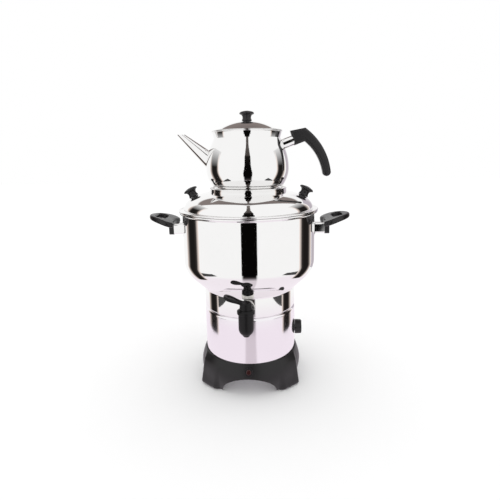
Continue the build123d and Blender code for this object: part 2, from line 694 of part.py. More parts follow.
# ---- tap ---------------------------------------------------------------------------------
with BuildPart() as tap_body:
    with BuildSketch(Plane(origin=(0, TAP_Y, 0), x_dir=(1, 0, 0), z_dir=(0, -1, 0))):
        with BuildLine():
            Polyline((0, NOZZLE_TIP), (NOZZLE_RADIUS, NOZZLE_TIP), (NOZZLE_RADIUS + 0.6, NOZZLE_TIP + 1))
            Spline(
                (NOZZLE_RADIUS + 0.6, NOZZLE_TIP + 1),
                ((NOZZLE_RADIUS + TAP_RADIUS) / 2 + 1.2, NOZZLE_TIP + 6),
                (TAP_RADIUS, NOZZLE_TIP + 14),
                tangents=((0.6, 1), (0, 1)),
            )
            Polyline((TAP_RADIUS, NOZZLE_TIP + 14), (TAP_RADIUS, CAP_BASE), (0, CAP_BASE), (0, NOZZLE_TIP))
        make_face()
    revolve(axis=TAP_AXIS)
    with BuildSketch(front_plane(TAP_REACH, TAP_INLET)):
        Circle(PIPE_RADIUS)
    extrude(amount=-(TAP_REACH - PIPE_END))
    with BuildSketch(front_plane(TAP_REACH, TAP_INLET)):
        Circle(PIPE_COLLAR)
    extrude(amount=-(TAP_REACH - HOUSING_RADIUS - WASHER_THICK - 1.5))
    with BuildSketch(front_plane(HOUSING_RADIUS + 13, TAP_INLET)):
        Circle(PIPE_COLLAR + 3)
    extrude(amount=-(13 - WASHER_THICK - 1.5))
    with BuildSketch(level(PLUG_BOTTOM, (0, TAP_Y))):
        Circle(PLUG_RADIUS + FIT)
    extrude(amount=TANK_BOTTOM, mode=Mode.SUBTRACT)
    with BuildSketch(front_plane(TAP_REACH, TAP_INLET)):
        Circle(PIPE_BORE)
    extrude(amount=-TAP_REACH, mode=Mode.SUBTRACT)
    with BuildSketch(level(NOZZLE_TIP - 1, (0, TAP_Y))):
        Circle(NOZZLE_BORE)
    extrude(amount=PLUG_BOTTOM - NOZZLE_TIP + 2, mode=Mode.SUBTRACT)
write(tap_body, "tap_body")

# Screw cap that holds the plug down, with grip ribs round its edge.
with BuildPart() as tap_cap:
    with BuildSketch(level(CAP_BASE, (0, TAP_Y))):
        Circle(CAP_RADIUS)
    extrude(amount=CAP_TOP - CAP_BASE)
    chamfer(tap_cap.faces().sort_by(Axis.Z)[-1].edges(), length=2.2, length2=3)
    fillet(tap_cap.faces().sort_by(Axis.Z)[0].edges(), radius=1)
    with BuildSketch(level(CAP_BASE - 1, (0, TAP_Y))):
        Circle(STEM_RADIUS + FIT)
    extrude(amount=CAP_TOP - CAP_BASE + 2, mode=Mode.SUBTRACT)
write(tap_cap, "tap_cap")

# Plug: drilled barrel with a side port, a stem through the cap.
with BuildPart() as tap_plug:
    with BuildSketch(level(PLUG_BOTTOM + SEAL_THICK, (0, TAP_Y))):
        Circle(PLUG_RADIUS)
    extrude(amount=CAP_BASE - LIFT_GAP - PLUG_BOTTOM - SEAL_THICK)
    with BuildSketch(level(CAP_BASE - 1, (0, TAP_Y))):
        Circle(STEM_RADIUS)
    extrude(amount=STEM_TOP - CAP_BASE + 1)
    with BuildSketch(level(PLUG_BOTTOM, (0, TAP_Y))):
        Circle(NOZZLE_BORE - 0.5)
    extrude(amount=TAP_INLET - PLUG_BOTTOM, mode=Mode.SUBTRACT)
    with BuildSketch(Plane(origin=(0, TAP_Y, TAP_INLET), x_dir=(0, 1, 0), z_dir=(1, 0, 0))):
        Circle(NOZZLE_BORE - 0.5)
    extrude(amount=PLUG_RADIUS + 1, mode=Mode.SUBTRACT)
write(tap_plug, "tap_plug")

with BuildPart() as tap_seal:
    with BuildSketch(level(PLUG_BOTTOM + LIFT_GAP, (0, TAP_Y))):
        Circle(PLUG_RADIUS - 0.2)
        Circle(NOZZLE_BORE - 0.4, mode=Mode.SUBTRACT)
    extrude(amount=SEAL_THICK - LIFT_GAP)
write(tap_seal, "tap_seal")

# Lever: hub on the stem and a dished oval paddle that rises to the left when shut.
LEVER_LEAN = math.atan2(LEVER_RISE, LEVER_REACH)
LEVER_PLANE = Plane(
    origin=(0, TAP_Y, HUB_TOP - 4.0),
    x_dir=(-math.cos(LEVER_LEAN), 0, math.sin(LEVER_LEAN)),
    z_dir=(math.sin(LEVER_LEAN), 0, math.cos(LEVER_LEAN)),
)
with BuildPart() as lever_paddle:
    with BuildSketch(LEVER_PLANE):
        with BuildLine():
            Line((0, LEVER_NECK), (12, LEVER_NECK))
            Spline((12, LEVER_NECK), (23, LEVER_HALF), (LEVER_LENGTH, 0), tangents=((1, 0.1), (0, -1)))
            Spline((LEVER_LENGTH, 0), (23, -LEVER_HALF), (12, -LEVER_NECK), tangents=((0, -1), (-1, 0.1)))
            Line((12, -LEVER_NECK), (0, -LEVER_NECK))
            Line((0, -LEVER_NECK), (0, LEVER_NECK))
        make_face()
    extrude(amount=LEVER_THICK / 2, both=True)
    flat_faces = lever_paddle.faces().sort_by(Axis(LEVER_PLANE.origin, LEVER_PLANE.z_dir))
    fillet(flat_faces[0].edges() + flat_faces[-1].edges(), radius=LEVER_THICK * 0.3)
    with BuildSketch(LEVER_PLANE.offset(LEVER_THICK / 2 - 1.0)):
        with Locations((24, 0)):
            Ellipse(9, LEVER_HALF - 3.4)
    extrude(amount=5, mode=Mode.SUBTRACT)

with BuildPart() as tap_lever:
    with BuildSketch(level(CAP_TOP + LIFT_GAP, (0, TAP_Y))):
        Circle(HUB_RADIUS)
    extrude(amount=HUB_TOP - CAP_TOP - LIFT_GAP, taper=4)
    fillet(tap_lever.faces().sort_by(Axis.Z)[-1].edges(), radius=2.5)
    add(lever_paddle.part)
    with BuildSketch(level(CAP_TOP, (0, TAP_Y))):
        Circle(STEM_RADIUS + SNUG)
    extrude(amount=STEM_TOP - CAP_TOP + 0.2, mode=Mode.SUBTRACT)
write(tap_lever, "tap_lever")

# Silicone washers on both sides of the tank wall, moulded to its curve, and the nut inside.
NUT_FACE = HOUSING_RADIUS - SHEET - WASHER_THICK - 1.5
with BuildPart() as tap_washers:
    with BuildSketch(front_plane(HOUSING_RADIUS + WASHER_THICK + 1.5, TAP_INLET)):
        Circle(WASHER_RADIUS)
        Circle(PIPE_RADIUS + SNUG, mode=Mode.SUBTRACT)
    extrude(amount=-(HOUSING_RADIUS + WASHER_THICK + 1.5 - NUT_FACE))
    with BuildSketch(level(TANK_BOTTOM)):
        Circle(HOUSING_RADIUS)
        Circle(HOUSING_RADIUS - SHEET, mode=Mode.SUBTRACT)
    extrude(amount=POT_RADIUS, mode=Mode.SUBTRACT)
write(tap_washers, "tap_washers")

with BuildPart() as tap_nut:
    with BuildSketch(front_plane(NUT_FACE, TAP_INLET)):
        RegularPolygon(TAP_NUT_RADIUS, 6)
        Circle(PIPE_RADIUS + SNUG, mode=Mode.SUBTRACT)
    extrude(amount=-(NUT_FACE - PIPE_END - 1.5))
write(tap_nut, "tap_nut")

# ---- side handles ------------------------------------------------------------------------
def mirrored(outline):
    """The other half of a plan outline that starts on the middle line, in walking order."""
    middle = (GRIP_WAIST, 0)
    return (middle, *[(x, -y) for x, y in reversed(outline[1:])])


def side_handle(side):
    """Grip: a half-round wing with a finger slot, and the foot that stands on the bracket."""
    with BuildPart() as grip:
        with BuildSketch(radial_plane()):
            with BuildLine():
                ThreePointArc(GRIP_ROOT, GRIP_CREST, GRIP_NOSE)
                offset(amount=GRIP_THICK, side=Side.RIGHT)
            make_face()
        extrude(amount=GRIP_SPAN / 2 + 4, both=True)
        with BuildSketch(level(HANDLE_HEIGHT - 20)):
            with BuildLine():
                Spline(*GRIP_OUTLINE, *mirrored(GRIP_OUTLINE), periodic=True)
            make_face()
        extrude(amount=60, mode=Mode.INTERSECT)
        with BuildSketch(level(HANDLE_HEIGHT - 20)):
            with Locations(((SLOT_INNER + SLOT_OUTER) / 2, 0)):
                SlotOverall(SLOT_LENGTH, SLOT_OUTER - SLOT_INNER, rotation=90)
        extrude(amount=60, mode=Mode.SUBTRACT)
        fillet(grip.edges().filter_by(lambda edge: abs(edge.tangent_at(0.5).Z) < 0.9), radius=GRIP_EDGE)
        with BuildSketch(side_plane(BRACKET_END, HANDLE_HEIGHT + 1)):
            RectangleRounded(BRACKET_DEPTH + 3, BRACKET_TALL + 4, 4)
        extrude(amount=GRIP_FOOT)
        with BuildSketch(side_plane(BRACKET_END - 1, HANDLE_HEIGHT)):
            Circle(HANDLE_SCREW)
        extrude(amount=GRIP_FOOT + 2, mode=Mode.SUBTRACT)
        with BuildSketch(side_plane(BRACKET_END + GRIP_FOOT - 2.6, HANDLE_HEIGHT)):
            Circle(HANDLE_SCREW + 2.6)
        extrude(amount=GRIP_FOOT, mode=Mode.SUBTRACT)
        if side == LEFT:
            mirror(about=Plane.YZ, mode=Mode.REPLACE)
    return grip


def handle_bracket(side):
    """Folded steel box from the pot wall to the grip, on a welded pad."""
    with BuildPart() as bracket:
        with BuildSketch(side_plane(POT_RADIUS - 6, HANDLE_HEIGHT)):
            RectangleRounded(BRACKET_DEPTH + 12, BRACKET_TALL + 8, 4)
        extrude(amount=6 + PAD_SHEET)
        with BuildSketch(level(0)):
            Circle(POT_RADIUS + PAD_SHEET)
        extrude(amount=RIM_HEIGHT, mode=Mode.INTERSECT)
        with BuildSketch(side_plane(POT_RADIUS - 6, HANDLE_HEIGHT)):
            RectangleRounded(BRACKET_DEPTH, BRACKET_TALL, 3)
        extrude(amount=BRACKET_END - POT_RADIUS + 6)
        with BuildSketch(side_plane(POT_RADIUS - 8, HANDLE_HEIGHT)):
            RectangleRounded(BRACKET_DEPTH - 2 * BRACKET_SHEET, BRACKET_TALL - 2 * BRACKET_SHEET, 1.5)
        extrude(amount=BRACKET_END - BRACKET_SHEET - POT_RADIUS + 8, mode=Mode.SUBTRACT)
        with BuildSketch(side_plane(POT_RADIUS, HANDLE_HEIGHT)):
            Circle(HANDLE_SCREW + SNUG)
        extrude(amount=BRACKET_END, mode=Mode.SUBTRACT)
        with BuildSketch(level(0)):
            Circle(POT_RADIUS)
        extrude(amount=RIM_HEIGHT, mode=Mode.SUBTRACT)
        if side == LEFT:
            mirror(about=Plane.YZ, mode=Mode.REPLACE)
    return bracket


side_handle_right = side_handle(RIGHT)
write(side_handle_right, "side_handle_right")
side_handle_left = side_handle(LEFT)
write(side_handle_left, "side_handle_left")
handle_bracket_right = handle_bracket(RIGHT)
write(handle_bracket_right, "handle_bracket_right")
handle_bracket_left = handle_bracket(LEFT)
write(handle_bracket_left, "handle_bracket_left")

with BuildPart() as handle_screws:
    for side in (RIGHT, LEFT):
        inward = Plane(
            origin=(side * (BRACKET_END + GRIP_FOOT - 2.6 + 2.0), AXIS_Y, HANDLE_HEIGHT),
            x_dir=(0, 1, 0),
            z_dir=(-side, 0, 0),
        )
        add(pan_screw(inward.offset(2.0), HANDLE_SCREW - SNUG, HANDLE_SCREW + 2.2, 2.0, GRIP_FOOT + 6))
write(handle_screws, "handle_screws")

# ---- pot lid -----------------------------------------------------------------------------
def dome_height(radius):
    """Height of the pot lid's dome at a radius: an ellipse about the shoulder."""
    reach = (radius - DOME_SHOULDER) / (DOME_EDGE - DOME_SHOULDER)
    return DOME_BASE + DOME_RISE * math.sqrt(1 - reach * reach)


def dome_lean(radius):
    """Degrees that the dome's surface leans outward from level at a radius."""
    reach = (radius - DOME_SHOULDER) / (DOME_EDGE - DOME_SHOULDER) ** 2
    rise = (dome_height(radius) - DOME_BASE) / DOME_RISE**2
    return math.degrees(math.atan2(reach, rise))


def knob(plane):
    """Mushroom knob standing on a plane's origin, local Y its axis, with a blind screw hole."""
    with BuildPart() as mushroom:
        with BuildSketch(plane):
            with BuildLine():
                Polyline((0, 0), (KNOB_FOOT, 0), (KNOB_FOOT, 1.6))
                Spline(
                    (KNOB_FOOT, 1.6),
                    (KNOB_WAIST, KNOB_HEIGHT * 0.36),
                    (KNOB_HEAD - 1.2, KNOB_HEIGHT - 6.4),
                    tangents=((-0.3, 1), (1, 0.25)),
                )
                Spline(
                    (KNOB_HEAD - 1.2, KNOB_HEIGHT - 6.4),
                    (KNOB_HEAD, KNOB_HEIGHT - 5.0),
                    (KNOB_HEAD * 0.62, KNOB_HEIGHT - 1.3),
                    (0, KNOB_HEIGHT),
                    tangents=((1, 0.25), (-1, 0)),
                )
                Line((0, KNOB_HEIGHT), (0, 0))
            make_face()
        revolve(axis=Axis(plane.origin, plane.y_dir))
        with BuildSketch(Plane(origin=plane.origin, z_dir=plane.y_dir)):
            Circle(KNOB_SCREW)
        extrude(amount=KNOB_SCREW_DEPTH, mode=Mode.SUBTRACT)
    return mushroom


LID_SEAT = RIM_HEIGHT + RIM_ROLL + LIFT_GAP
KNOB_PLANES = [
    leaning_plane(side * LID_KNOB_PLACE, dome_height(LID_KNOB_PLACE), side * dome_lean(LID_KNOB_PLACE))
    for side in (RIGHT, LEFT)
]

with BuildPart() as pot_lid:
    with BuildSketch(radial_plane()):
        with BuildLine():
            dome_out = EllipticalCenterArc(
                (DOME_SHOULDER, DOME_BASE),
                DOME_EDGE - DOME_SHOULDER,
                DOME_RISE,
                arc_size=DOME_ARC,
            )
            dome_in = EllipticalCenterArc(
                (DOME_SHOULDER, DOME_BASE),
                DOME_EDGE - DOME_SHOULDER - SHEET,
                DOME_RISE - SHEET,
                arc_size=DOME_ARC,
            )
            Line(dome_out @ 0, dome_in @ 0)
            Line(dome_out @ 1, dome_in @ 1)
        make_face()
        with BuildLine():
            Polyline(
                (DOME_EDGE - SHEET, DOME_BASE),
                (DOME_EDGE - SHEET, LID_SEAT),
                (LID_EDGE, LID_SEAT),
                (LID_EDGE, LID_SEAT + SHEET),
                (DOME_EDGE + 1, LID_SEAT + SHEET),
                (DOME_EDGE, LID_SEAT + SHEET + 1),
                (DOME_EDGE, DOME_BASE),
                close=True,
            )
        make_face()
        with Locations((LID_EDGE, LID_SEAT + LID_ROLL)):
            Circle(LID_ROLL)
        with Locations((DOME_EDGE - SHEET / 2, LID_SEAT)):
            Rectangle(SHEET, LID_PLUG, align=(Align.CENTER, Align.MAX))
        with BuildLine():
            Polyline(
                (COLLAR_RADIUS + 0.9, dome_height(COLLAR_RADIUS) - SHEET / 2),
                (COLLAR_RADIUS - 0.1, dome_height(COLLAR_RADIUS) - SHEET),
                (COLLAR_RADIUS - SHEET, SHELF_HEIGHT - SHEET),
                (SHELF_HOLE, SHELF_HEIGHT - SHEET),
                (SHELF_HOLE, SHELF_HEIGHT),
                (COLLAR_RADIUS - SHEET, SHELF_HEIGHT),
                (COLLAR_RADIUS - SHEET, COLLAR_TOP - COLLAR_ROLL),
                (COLLAR_RADIUS, COLLAR_TOP - COLLAR_ROLL),
                close=True,
            )
        make_face()
        with Locations((COLLAR_RADIUS - SHEET / 2, COLLAR_TOP - COLLAR_ROLL)):
            Circle(COLLAR_ROLL)
    revolve(axis=VESSEL_AXIS)
    for knob_plane in KNOB_PLANES:
        with BuildSketch(Plane(origin=knob_plane.origin, z_dir=knob_plane.y_dir)):
            Circle(KNOB_SCREW + SNUG)
        extrude(amount=3 * SHEET, both=True, mode=Mode.SUBTRACT)
write(pot_lid, "pot_lid")

lid_knob_right = knob(KNOB_PLANES[0])
write(lid_knob_right, "lid_knob_right")
lid_knob_left = knob(KNOB_PLANES[1])
write(lid_knob_left, "lid_knob_left")

with BuildPart() as lid_knob_screws:
    for knob_plane in KNOB_PLANES:
        under = Plane(origin=knob_plane.origin, z_dir=knob_plane.y_dir).offset(-SHEET - 0.4)
        add(pan_screw(under, KNOB_SCREW - SNUG, KNOB_SCREW + 2, 2.0, KNOB_SCREW_DEPTH))
write(lid_knob_screws, "lid_knob_screws")

# ---- teapot ------------------------------------------------------------------------------
# Solid inside the teapot's outer surface; the body is this shape hollowed.
with BuildPart() as teapot_form:
    with BuildSketch(radial_plane()):
        with BuildLine():
            Line((0, POT_BASE), (POT_BASE_RADIUS, POT_BASE))
            Spline((POT_BASE_RADIUS, POT_BASE), POT_HIP, POT_BELLY, tangents=((1, 0.12), (0, 1)))
            Spline(POT_BELLY, POT_SHOULDER, POT_KINK, tangents=((0, 1), (-0.42, 1)))
            Line(POT_KINK, POT_NECK)
            Polyline(POT_NECK, (0, POT_NECK[1]), (0, POT_BASE))
        make_face()
    revolve(axis=VESSEL_AXIS)

with BuildPart() as teapot_room:
    with BuildSketch(radial_plane()):
        with BuildLine():
            Line((0, POT_BASE + THIN_SHEET), (POT_BASE_RADIUS, POT_BASE + THIN_SHEET))
            Spline(
                (POT_BASE_RADIUS, POT_BASE + THIN_SHEET),
                (POT_HIP[0] - THIN_SHEET, POT_HIP[1] + THIN_SHEET / 2),
                (POT_BELLY[0] - THIN_SHEET, POT_BELLY[1]),
                tangents=((1, 0.12), (0, 1)),
            )
            Spline(
                (POT_BELLY[0] - THIN_SHEET, POT_BELLY[1]),
                (POT_SHOULDER[0] - THIN_SHEET, POT_SHOULDER[1]),
                (POT_KINK[0] - THIN_SHEET, POT_KINK[1]),
                tangents=((0, 1), (-0.42, 1)),
            )
            Line((POT_KINK[0] - THIN_SHEET, POT_KINK[1]), (POT_NECK[0] - THIN_SHEET, POT_NECK[1]))
            Polyline(
                (POT_NECK[0] - THIN_SHEET, POT_NECK[1]),
                (POT_NECK[0] - THIN_SHEET, POT_NECK[1] + 2),
                (0, POT_NECK[1] + 2),
                (0, POT_BASE + THIN_SHEET),
            )
        make_face()
    revolve(axis=VESSEL_AXIS)

with BuildPart() as teapot_body:
    add(teapot_form.part)
    with BuildSketch(radial_plane()):
        with Locations((POT_RIM - POT_ROLL, POT_NECK[1])):
            Circle(POT_ROLL)
    revolve(axis=VESSEL_AXIS)
    add(teapot_room.part, mode=Mode.SUBTRACT)
    with BuildSketch(side_plane(0, STRAINER_HEIGHT)):
        with HexLocations(STRAINER_PITCH, 5, 5):
            Circle(STRAINER_HOLE)
    extrude(amount=-2 * POT_BELLY[0], mode=Mode.SUBTRACT)
write(teapot_body, "teapot_body")

# Heat-spreading disc under the teapot's floor, inside the opening of the lid's shelf.
with BuildPart() as teapot_disc:
    with BuildSketch(level(POT_BASE)):
        Circle(SHELF_HOLE - 3)
    extrude(amount=-DISC_THICK, taper=12)
write(teapot_disc, "teapot_disc")

# Spout: a tapering tube from the body's side, its mouth cut level.
SPOUT_LEAN = math.radians(SPOUT_RISE)
SPOUT_ROOT = (
    SPOUT_MOUTH[0] + SPOUT_LENGTH * math.cos(SPOUT_LEAN),
    AXIS_Y,
    SPOUT_MOUTH[1] - SPOUT_LENGTH * math.sin(SPOUT_LEAN),
)
SPOUT_PLANE = Plane(
    origin=SPOUT_ROOT,
    x_dir=(0, 1, 0),
    z_dir=(-math.cos(SPOUT_LEAN), 0, math.sin(SPOUT_LEAN)),
)
SPOUT_SPARE = 8.0            # drawn beyond the mouth before the level cut
with BuildPart() as spout_blank:
    with BuildSketch(SPOUT_PLANE):
        Circle(SPOUT_ROOT_RADIUS)
    with BuildSketch(SPOUT_PLANE.offset(SPOUT_LENGTH + SPOUT_SPARE)):
        Circle(SPOUT_MOUTH_RADIUS - 0.6)
    loft()
    split(bisect_by=Plane.XY.offset(SPOUT_MOUTH[1]), keep=Keep.BOTTOM)
    add(teapot_form.part, mode=Mode.SUBTRACT)
    with BuildSketch(SPOUT_PLANE.offset(-1)):
        Circle(SPOUT_ROOT_RADIUS - THIN_SHEET)
    with BuildSketch(SPOUT_PLANE.offset(SPOUT_LENGTH + SPOUT_SPARE + 1)):
        Circle(SPOUT_MOUTH_RADIUS - 0.6 - THIN_SHEET)
    loft(mode=Mode.SUBTRACT)

with BuildPart() as teapot_spout:
    add(spout_blank.solids().sort_by(Axis.X)[0])
write(teapot_spout, "teapot_spout")

# Handle: steel ferrule on the shoulder, stud inside it, bakelite handle on the stud.
FERRULE_LEAN = math.radians(FERRULE_RISE)
FERRULE_PLANE = Plane(
    origin=(FERRULE_FOOT[0], AXIS_Y, FERRULE_FOOT[1]),
    x_dir=(0, 1, 0),
    z_dir=(math.cos(FERRULE_LEAN), 0, math.sin(FERRULE_LEAN)),
)
with BuildPart() as handle_ferrule:
    with BuildSketch(FERRULE_PLANE.offset(-8)):
        Ellipse(FERRULE_WIDE, FERRULE_TALL)
    extrude(amount=FERRULE_LENGTH + 8)
    with BuildSketch(FERRULE_PLANE.offset(-9)):
        Ellipse(FERRULE_WIDE - 1.2, FERRULE_TALL - 1.2)
    extrude(amount=FERRULE_LENGTH + 8, mode=Mode.SUBTRACT)
    with BuildSketch(FERRULE_PLANE.offset(-9)):
        Circle(STUD_RADIUS + SNUG)
    extrude(amount=2 * FERRULE_LENGTH + 8, mode=Mode.SUBTRACT)
    add(teapot_form.part, mode=Mode.SUBTRACT)
write(handle_ferrule, "handle_ferrule")

with BuildPart() as handle_stud:
    with BuildSketch(FERRULE_PLANE.offset(-4)):
        Circle(STUD_RADIUS)
    extrude(amount=FERRULE_LENGTH + STUD_REACH + 4)
    add(teapot_form.part, mode=Mode.SUBTRACT)
write(handle_stud, "handle_stud")

with BuildPart() as teapot_handle:
    with BuildSketch(radial_plane()):
        with BuildLine():
            Line(HANDLE_HEEL, HANDLE_CORNER)
            ThreePointArc(HANDLE_CORNER, HANDLE_BACK, HANDLE_TIP_OUT)
            ThreePointArc(HANDLE_TIP_OUT, HANDLE_TIP, HANDLE_TIP_IN)
            ThreePointArc(HANDLE_TIP_IN, HANDLE_BELLY, HANDLE_CROOK)
            Line(HANDLE_CROOK, HANDLE_CHIN)
            Line(HANDLE_CHIN, HANDLE_HEEL)
        make_face()
    extrude(amount=HANDLE_HALF_WIDTH, both=True)
    side_faces = teapot_handle.faces().sort_by(Axis.Y)
    fillet(side_faces[0].edges() + side_faces[-1].edges(), radius=HANDLE_EDGE)
    with BuildSketch(FERRULE_PLANE):
        Ellipse(FERRULE_WIDE + SNUG, FERRULE_TALL + SNUG)
    extrude(amount=FERRULE_LENGTH + SNUG, mode=Mode.SUBTRACT)
    with BuildSketch(FERRULE_PLANE):
        Circle(STUD_RADIUS + SNUG)
    extrude(amount=FERRULE_LENGTH + STUD_REACH + 1, mode=Mode.SUBTRACT)
write(teapot_handle, "teapot_handle")

# ---- teapot lid --------------------------------------------------------------------------
TOP_KNOB_PLANE = leaning_plane(0.0, POT_LID_BASE + POT_LID_RISE, 0.0)
with BuildPart() as teapot_lid:
    with BuildSketch(radial_plane()):
        with BuildLine():
            cap_out = ThreePointArc(
                (POT_LID_DOME, POT_LID_BASE + THIN_SHEET),
                (POT_LID_DOME * 0.55, POT_LID_BASE + POT_LID_RISE * 0.72),
                (0, POT_LID_BASE + POT_LID_RISE),
            )
            cap_in = ThreePointArc(
                (POT_LID_DOME - 1, POT_LID_BASE),
                (POT_LID_DOME * 0.55 - 0.4, POT_LID_BASE + POT_LID_RISE * 0.72 - THIN_SHEET),
                (0, POT_LID_BASE + POT_LID_RISE - THIN_SHEET),
            )
            Line(cap_out @ 0, cap_in @ 0)
            Line(cap_out @ 1, cap_in @ 1)
        make_face()
        with Locations((POT_RIM - 1, POT_LID_BASE + THIN_SHEET / 2)):
            Rectangle(POT_RIM - POT_LID_DOME + 1, THIN_SHEET, align=(Align.MAX, Align.CENTER))
            Circle(THIN_SHEET * 0.7)
        with Locations((POT_LID_DOME - 1.5, POT_LID_BASE + 0.4)):
            Rectangle(THIN_SHEET, POT_LID_PLUG, align=(Align.CENTER, Align.MAX))
    revolve(axis=VESSEL_AXIS)
    with BuildSketch(level(POT_LID_BASE)):
        Circle(KNOB_SCREW + SNUG)
    extrude(amount=2 * POT_LID_RISE, mode=Mode.SUBTRACT)
write(teapot_lid, "teapot_lid")

teapot_knob = knob(TOP_KNOB_PLANE)
write(teapot_knob, "teapot_knob")

with BuildPart() as teapot_knob_screw:
    add(pan_screw(level(POT_LID_BASE + POT_LID_RISE - THIN_SHEET - 0.2), KNOB_SCREW - SNUG,
                  KNOB_SCREW + 2, 2.0, KNOB_SCREW_DEPTH))
write(teapot_knob_screw, "teapot_knob_screw")
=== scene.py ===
import json
import math

import bmesh
import bpy
import numpy as np
from mathutils import Matrix, Vector

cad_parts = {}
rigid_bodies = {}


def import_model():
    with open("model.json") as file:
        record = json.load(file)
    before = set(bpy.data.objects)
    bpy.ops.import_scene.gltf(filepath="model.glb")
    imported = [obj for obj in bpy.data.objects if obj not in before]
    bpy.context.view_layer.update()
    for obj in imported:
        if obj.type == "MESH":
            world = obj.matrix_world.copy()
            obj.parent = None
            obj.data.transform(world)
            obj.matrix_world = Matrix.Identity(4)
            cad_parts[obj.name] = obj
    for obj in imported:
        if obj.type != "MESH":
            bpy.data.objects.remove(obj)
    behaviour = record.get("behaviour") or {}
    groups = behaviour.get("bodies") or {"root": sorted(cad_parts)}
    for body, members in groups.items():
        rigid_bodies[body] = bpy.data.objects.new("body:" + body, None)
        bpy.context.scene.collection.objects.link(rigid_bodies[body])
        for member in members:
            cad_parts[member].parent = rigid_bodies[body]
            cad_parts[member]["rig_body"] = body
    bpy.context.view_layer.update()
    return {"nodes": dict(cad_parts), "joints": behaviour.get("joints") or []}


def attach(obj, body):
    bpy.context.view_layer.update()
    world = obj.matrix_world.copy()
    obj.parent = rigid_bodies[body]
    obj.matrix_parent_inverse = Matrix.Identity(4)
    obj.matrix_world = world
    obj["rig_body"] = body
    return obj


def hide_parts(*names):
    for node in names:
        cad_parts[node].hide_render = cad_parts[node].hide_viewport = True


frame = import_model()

bl_info = {
    "name": "Samovar Finish",
    "version": (1, 0, 0),
    "blender": (4, 5, 0),
    "location": "3D View > Sidebar > Samovar",
    "description": "Polished shells, moulded plastic and the studio around the samovar's frame",
    "category": "Object",
}

# ---- places taken from the frame ---------------------------------------------------------
JOINTS = {joint["name"]: joint for joint in frame["joints"]}
AXIS_Y = JOINTS["thermostat_turn"]["pos_m"][1]
MM = 0.001
RIGHT, LEFT = 1, -1
MERGE = 2e-6                 # points closer than this are one point
LATHE_REACH = 0.1            # the lathe carries an outline round a circle of this radius
SMOOTH_ANGLE = math.radians(38)
ROLL_CLEAR = 1.02            # a wall ends this many radii from the centre of its roll
NECK_CORNER = 5 * MM         # rounding where the cone begins
RIM_CORNER = 3 * MM          # rounding where the pot's wall flares
DOME_START = 4               # degrees up its section at which the dome leaves its foot
POT_HIP = (5.4 * MM, 15.4 * MM)         # inside the teapot's belly, above its floor
POT_SHOULDER = (6.0 * MM, 34 * MM)      # inside the teapot's belly, above it
LID_PLUG = (1.9 * MM, 5.6 * MM)         # inside the teapot lid's dome, under its brim
MARK_DRAW = 0.004            # how far polishing marks are drawn out round the axis
HIDDEN_HEIGHT = 0.001        # a card on the floor lies this high
WEDGE_EDGE = (9.5, 12.5)     # degrees over which the floor's dark wedge fades out
FRAME_SHIFT = (0.0028, -0.063)


# ---- sizes and colours a user would change -----------------------------------------------
def size(name, description, default):
    return bpy.props.FloatProperty(
        name=name, description=description, default=default, precision=5, subtype="DISTANCE", unit="LENGTH"
    )


def share(name, description, default):
    return bpy.props.FloatProperty(
        name=name, description=description, default=default, min=0.0, max=1.0, subtype="FACTOR"
    )


def colour(name, description, default):
    return bpy.props.FloatVectorProperty(
        name=name, description=description, default=default, size=3, min=0.0, max=1.0, subtype="COLOR"
    )


def tilt(name, description, degrees):
    return bpy.props.FloatProperty(
        name=name, description=description, default=math.radians(degrees), subtype="ANGLE"
    )


def count(name, description, default):
    return bpy.props.IntProperty(name=name, description=description, default=default, min=3)


class FinishSettings(bpy.types.PropertyGroup):
    """Colours and gloss of the samovar's materials."""

    steel: colour("Steel", "Colour of the mirror-polished sheet", (0.93, 0.925, 0.92))
    steel_roughness: share("Steel roughness", "Blur of the polished sheet", 0.035)
    satin: colour("Satin steel", "Colour of the brushed lower housing", (0.93, 0.90, 0.93))
    satin_roughness: share("Satin roughness", "Blur of the lower housing", 0.09)
    zinc: colour("Zinc", "Colour of plated screws and plates", (0.55, 0.56, 0.57))
    bakelite: colour("Bakelite", "Colour of knobs and handles", (0.009, 0.008, 0.009))
    bakelite_roughness: share("Bakelite roughness", "Blur of knobs and handles", 0.24)
    base: colour("Base", "Colour of the base's moulding", (0.010, 0.0095, 0.010))
    base_roughness: share("Base roughness", "Blur of the base's moulding", 0.3)
    tap: colour("Tap", "Colour of the tap's moulding", (0.006, 0.0055, 0.006))
    silicone: colour("Silicone", "Colour of washers and gaskets", (0.75, 0.73, 0.70))


class ShellSettings(bpy.types.PropertyGroup):
    """Sizes of the boiler, its housing and its lid."""

    steps: count("Steps", "Steps round a turned shell", 288)
    sheet: size("Sheet", "Thickness of the boiler's steel", 1.0 * MM)
    thin_sheet: size("Thin sheet", "Thickness of the housing and the teapot", 0.8 * MM)
    deck: size("Deck", "Height of the deck that carries the housing", 53.0 * MM)
    neck_radius: size("Neck radius", "Radius of the housing and the boiler's neck", 87.0 * MM)
    floor: size("Boiler floor", "Height of the boiler's floor", 144.0 * MM)
    neck_top: size("Neck top", "Height where the cone begins", 182.0 * MM)
    pot_radius: size("Pot radius", "Radius of the wide pot", 124.5 * MM)
    cone_top: size("Cone top", "Height where the cone would meet the pot's wall", 218.0 * MM)
    bowl_corner: size("Bowl corner", "Rounding between the cone and the pot's wall", 42.0 * MM)
    corner: size("Corner", "Rounding round the boiler's floor", 4.0 * MM)
    shoulder: size("Shoulder", "Rounding at the top of the housing", 5.5 * MM)
    flange: size("Flange", "Width of the housing's inward flange", 9.0 * MM)
    rim_height: size("Rim height", "Height of the pot's rim", 326.6 * MM)
    rim_radius: size("Rim radius", "Radius of the pot's rim", 128.6 * MM)
    rim_flare: size("Rim flare", "Height over which the pot's wall flares to its rim", 4.0 * MM)
    rim_roll: size("Rim roll", "Radius of the pot's rolled rim", 1.7 * MM)


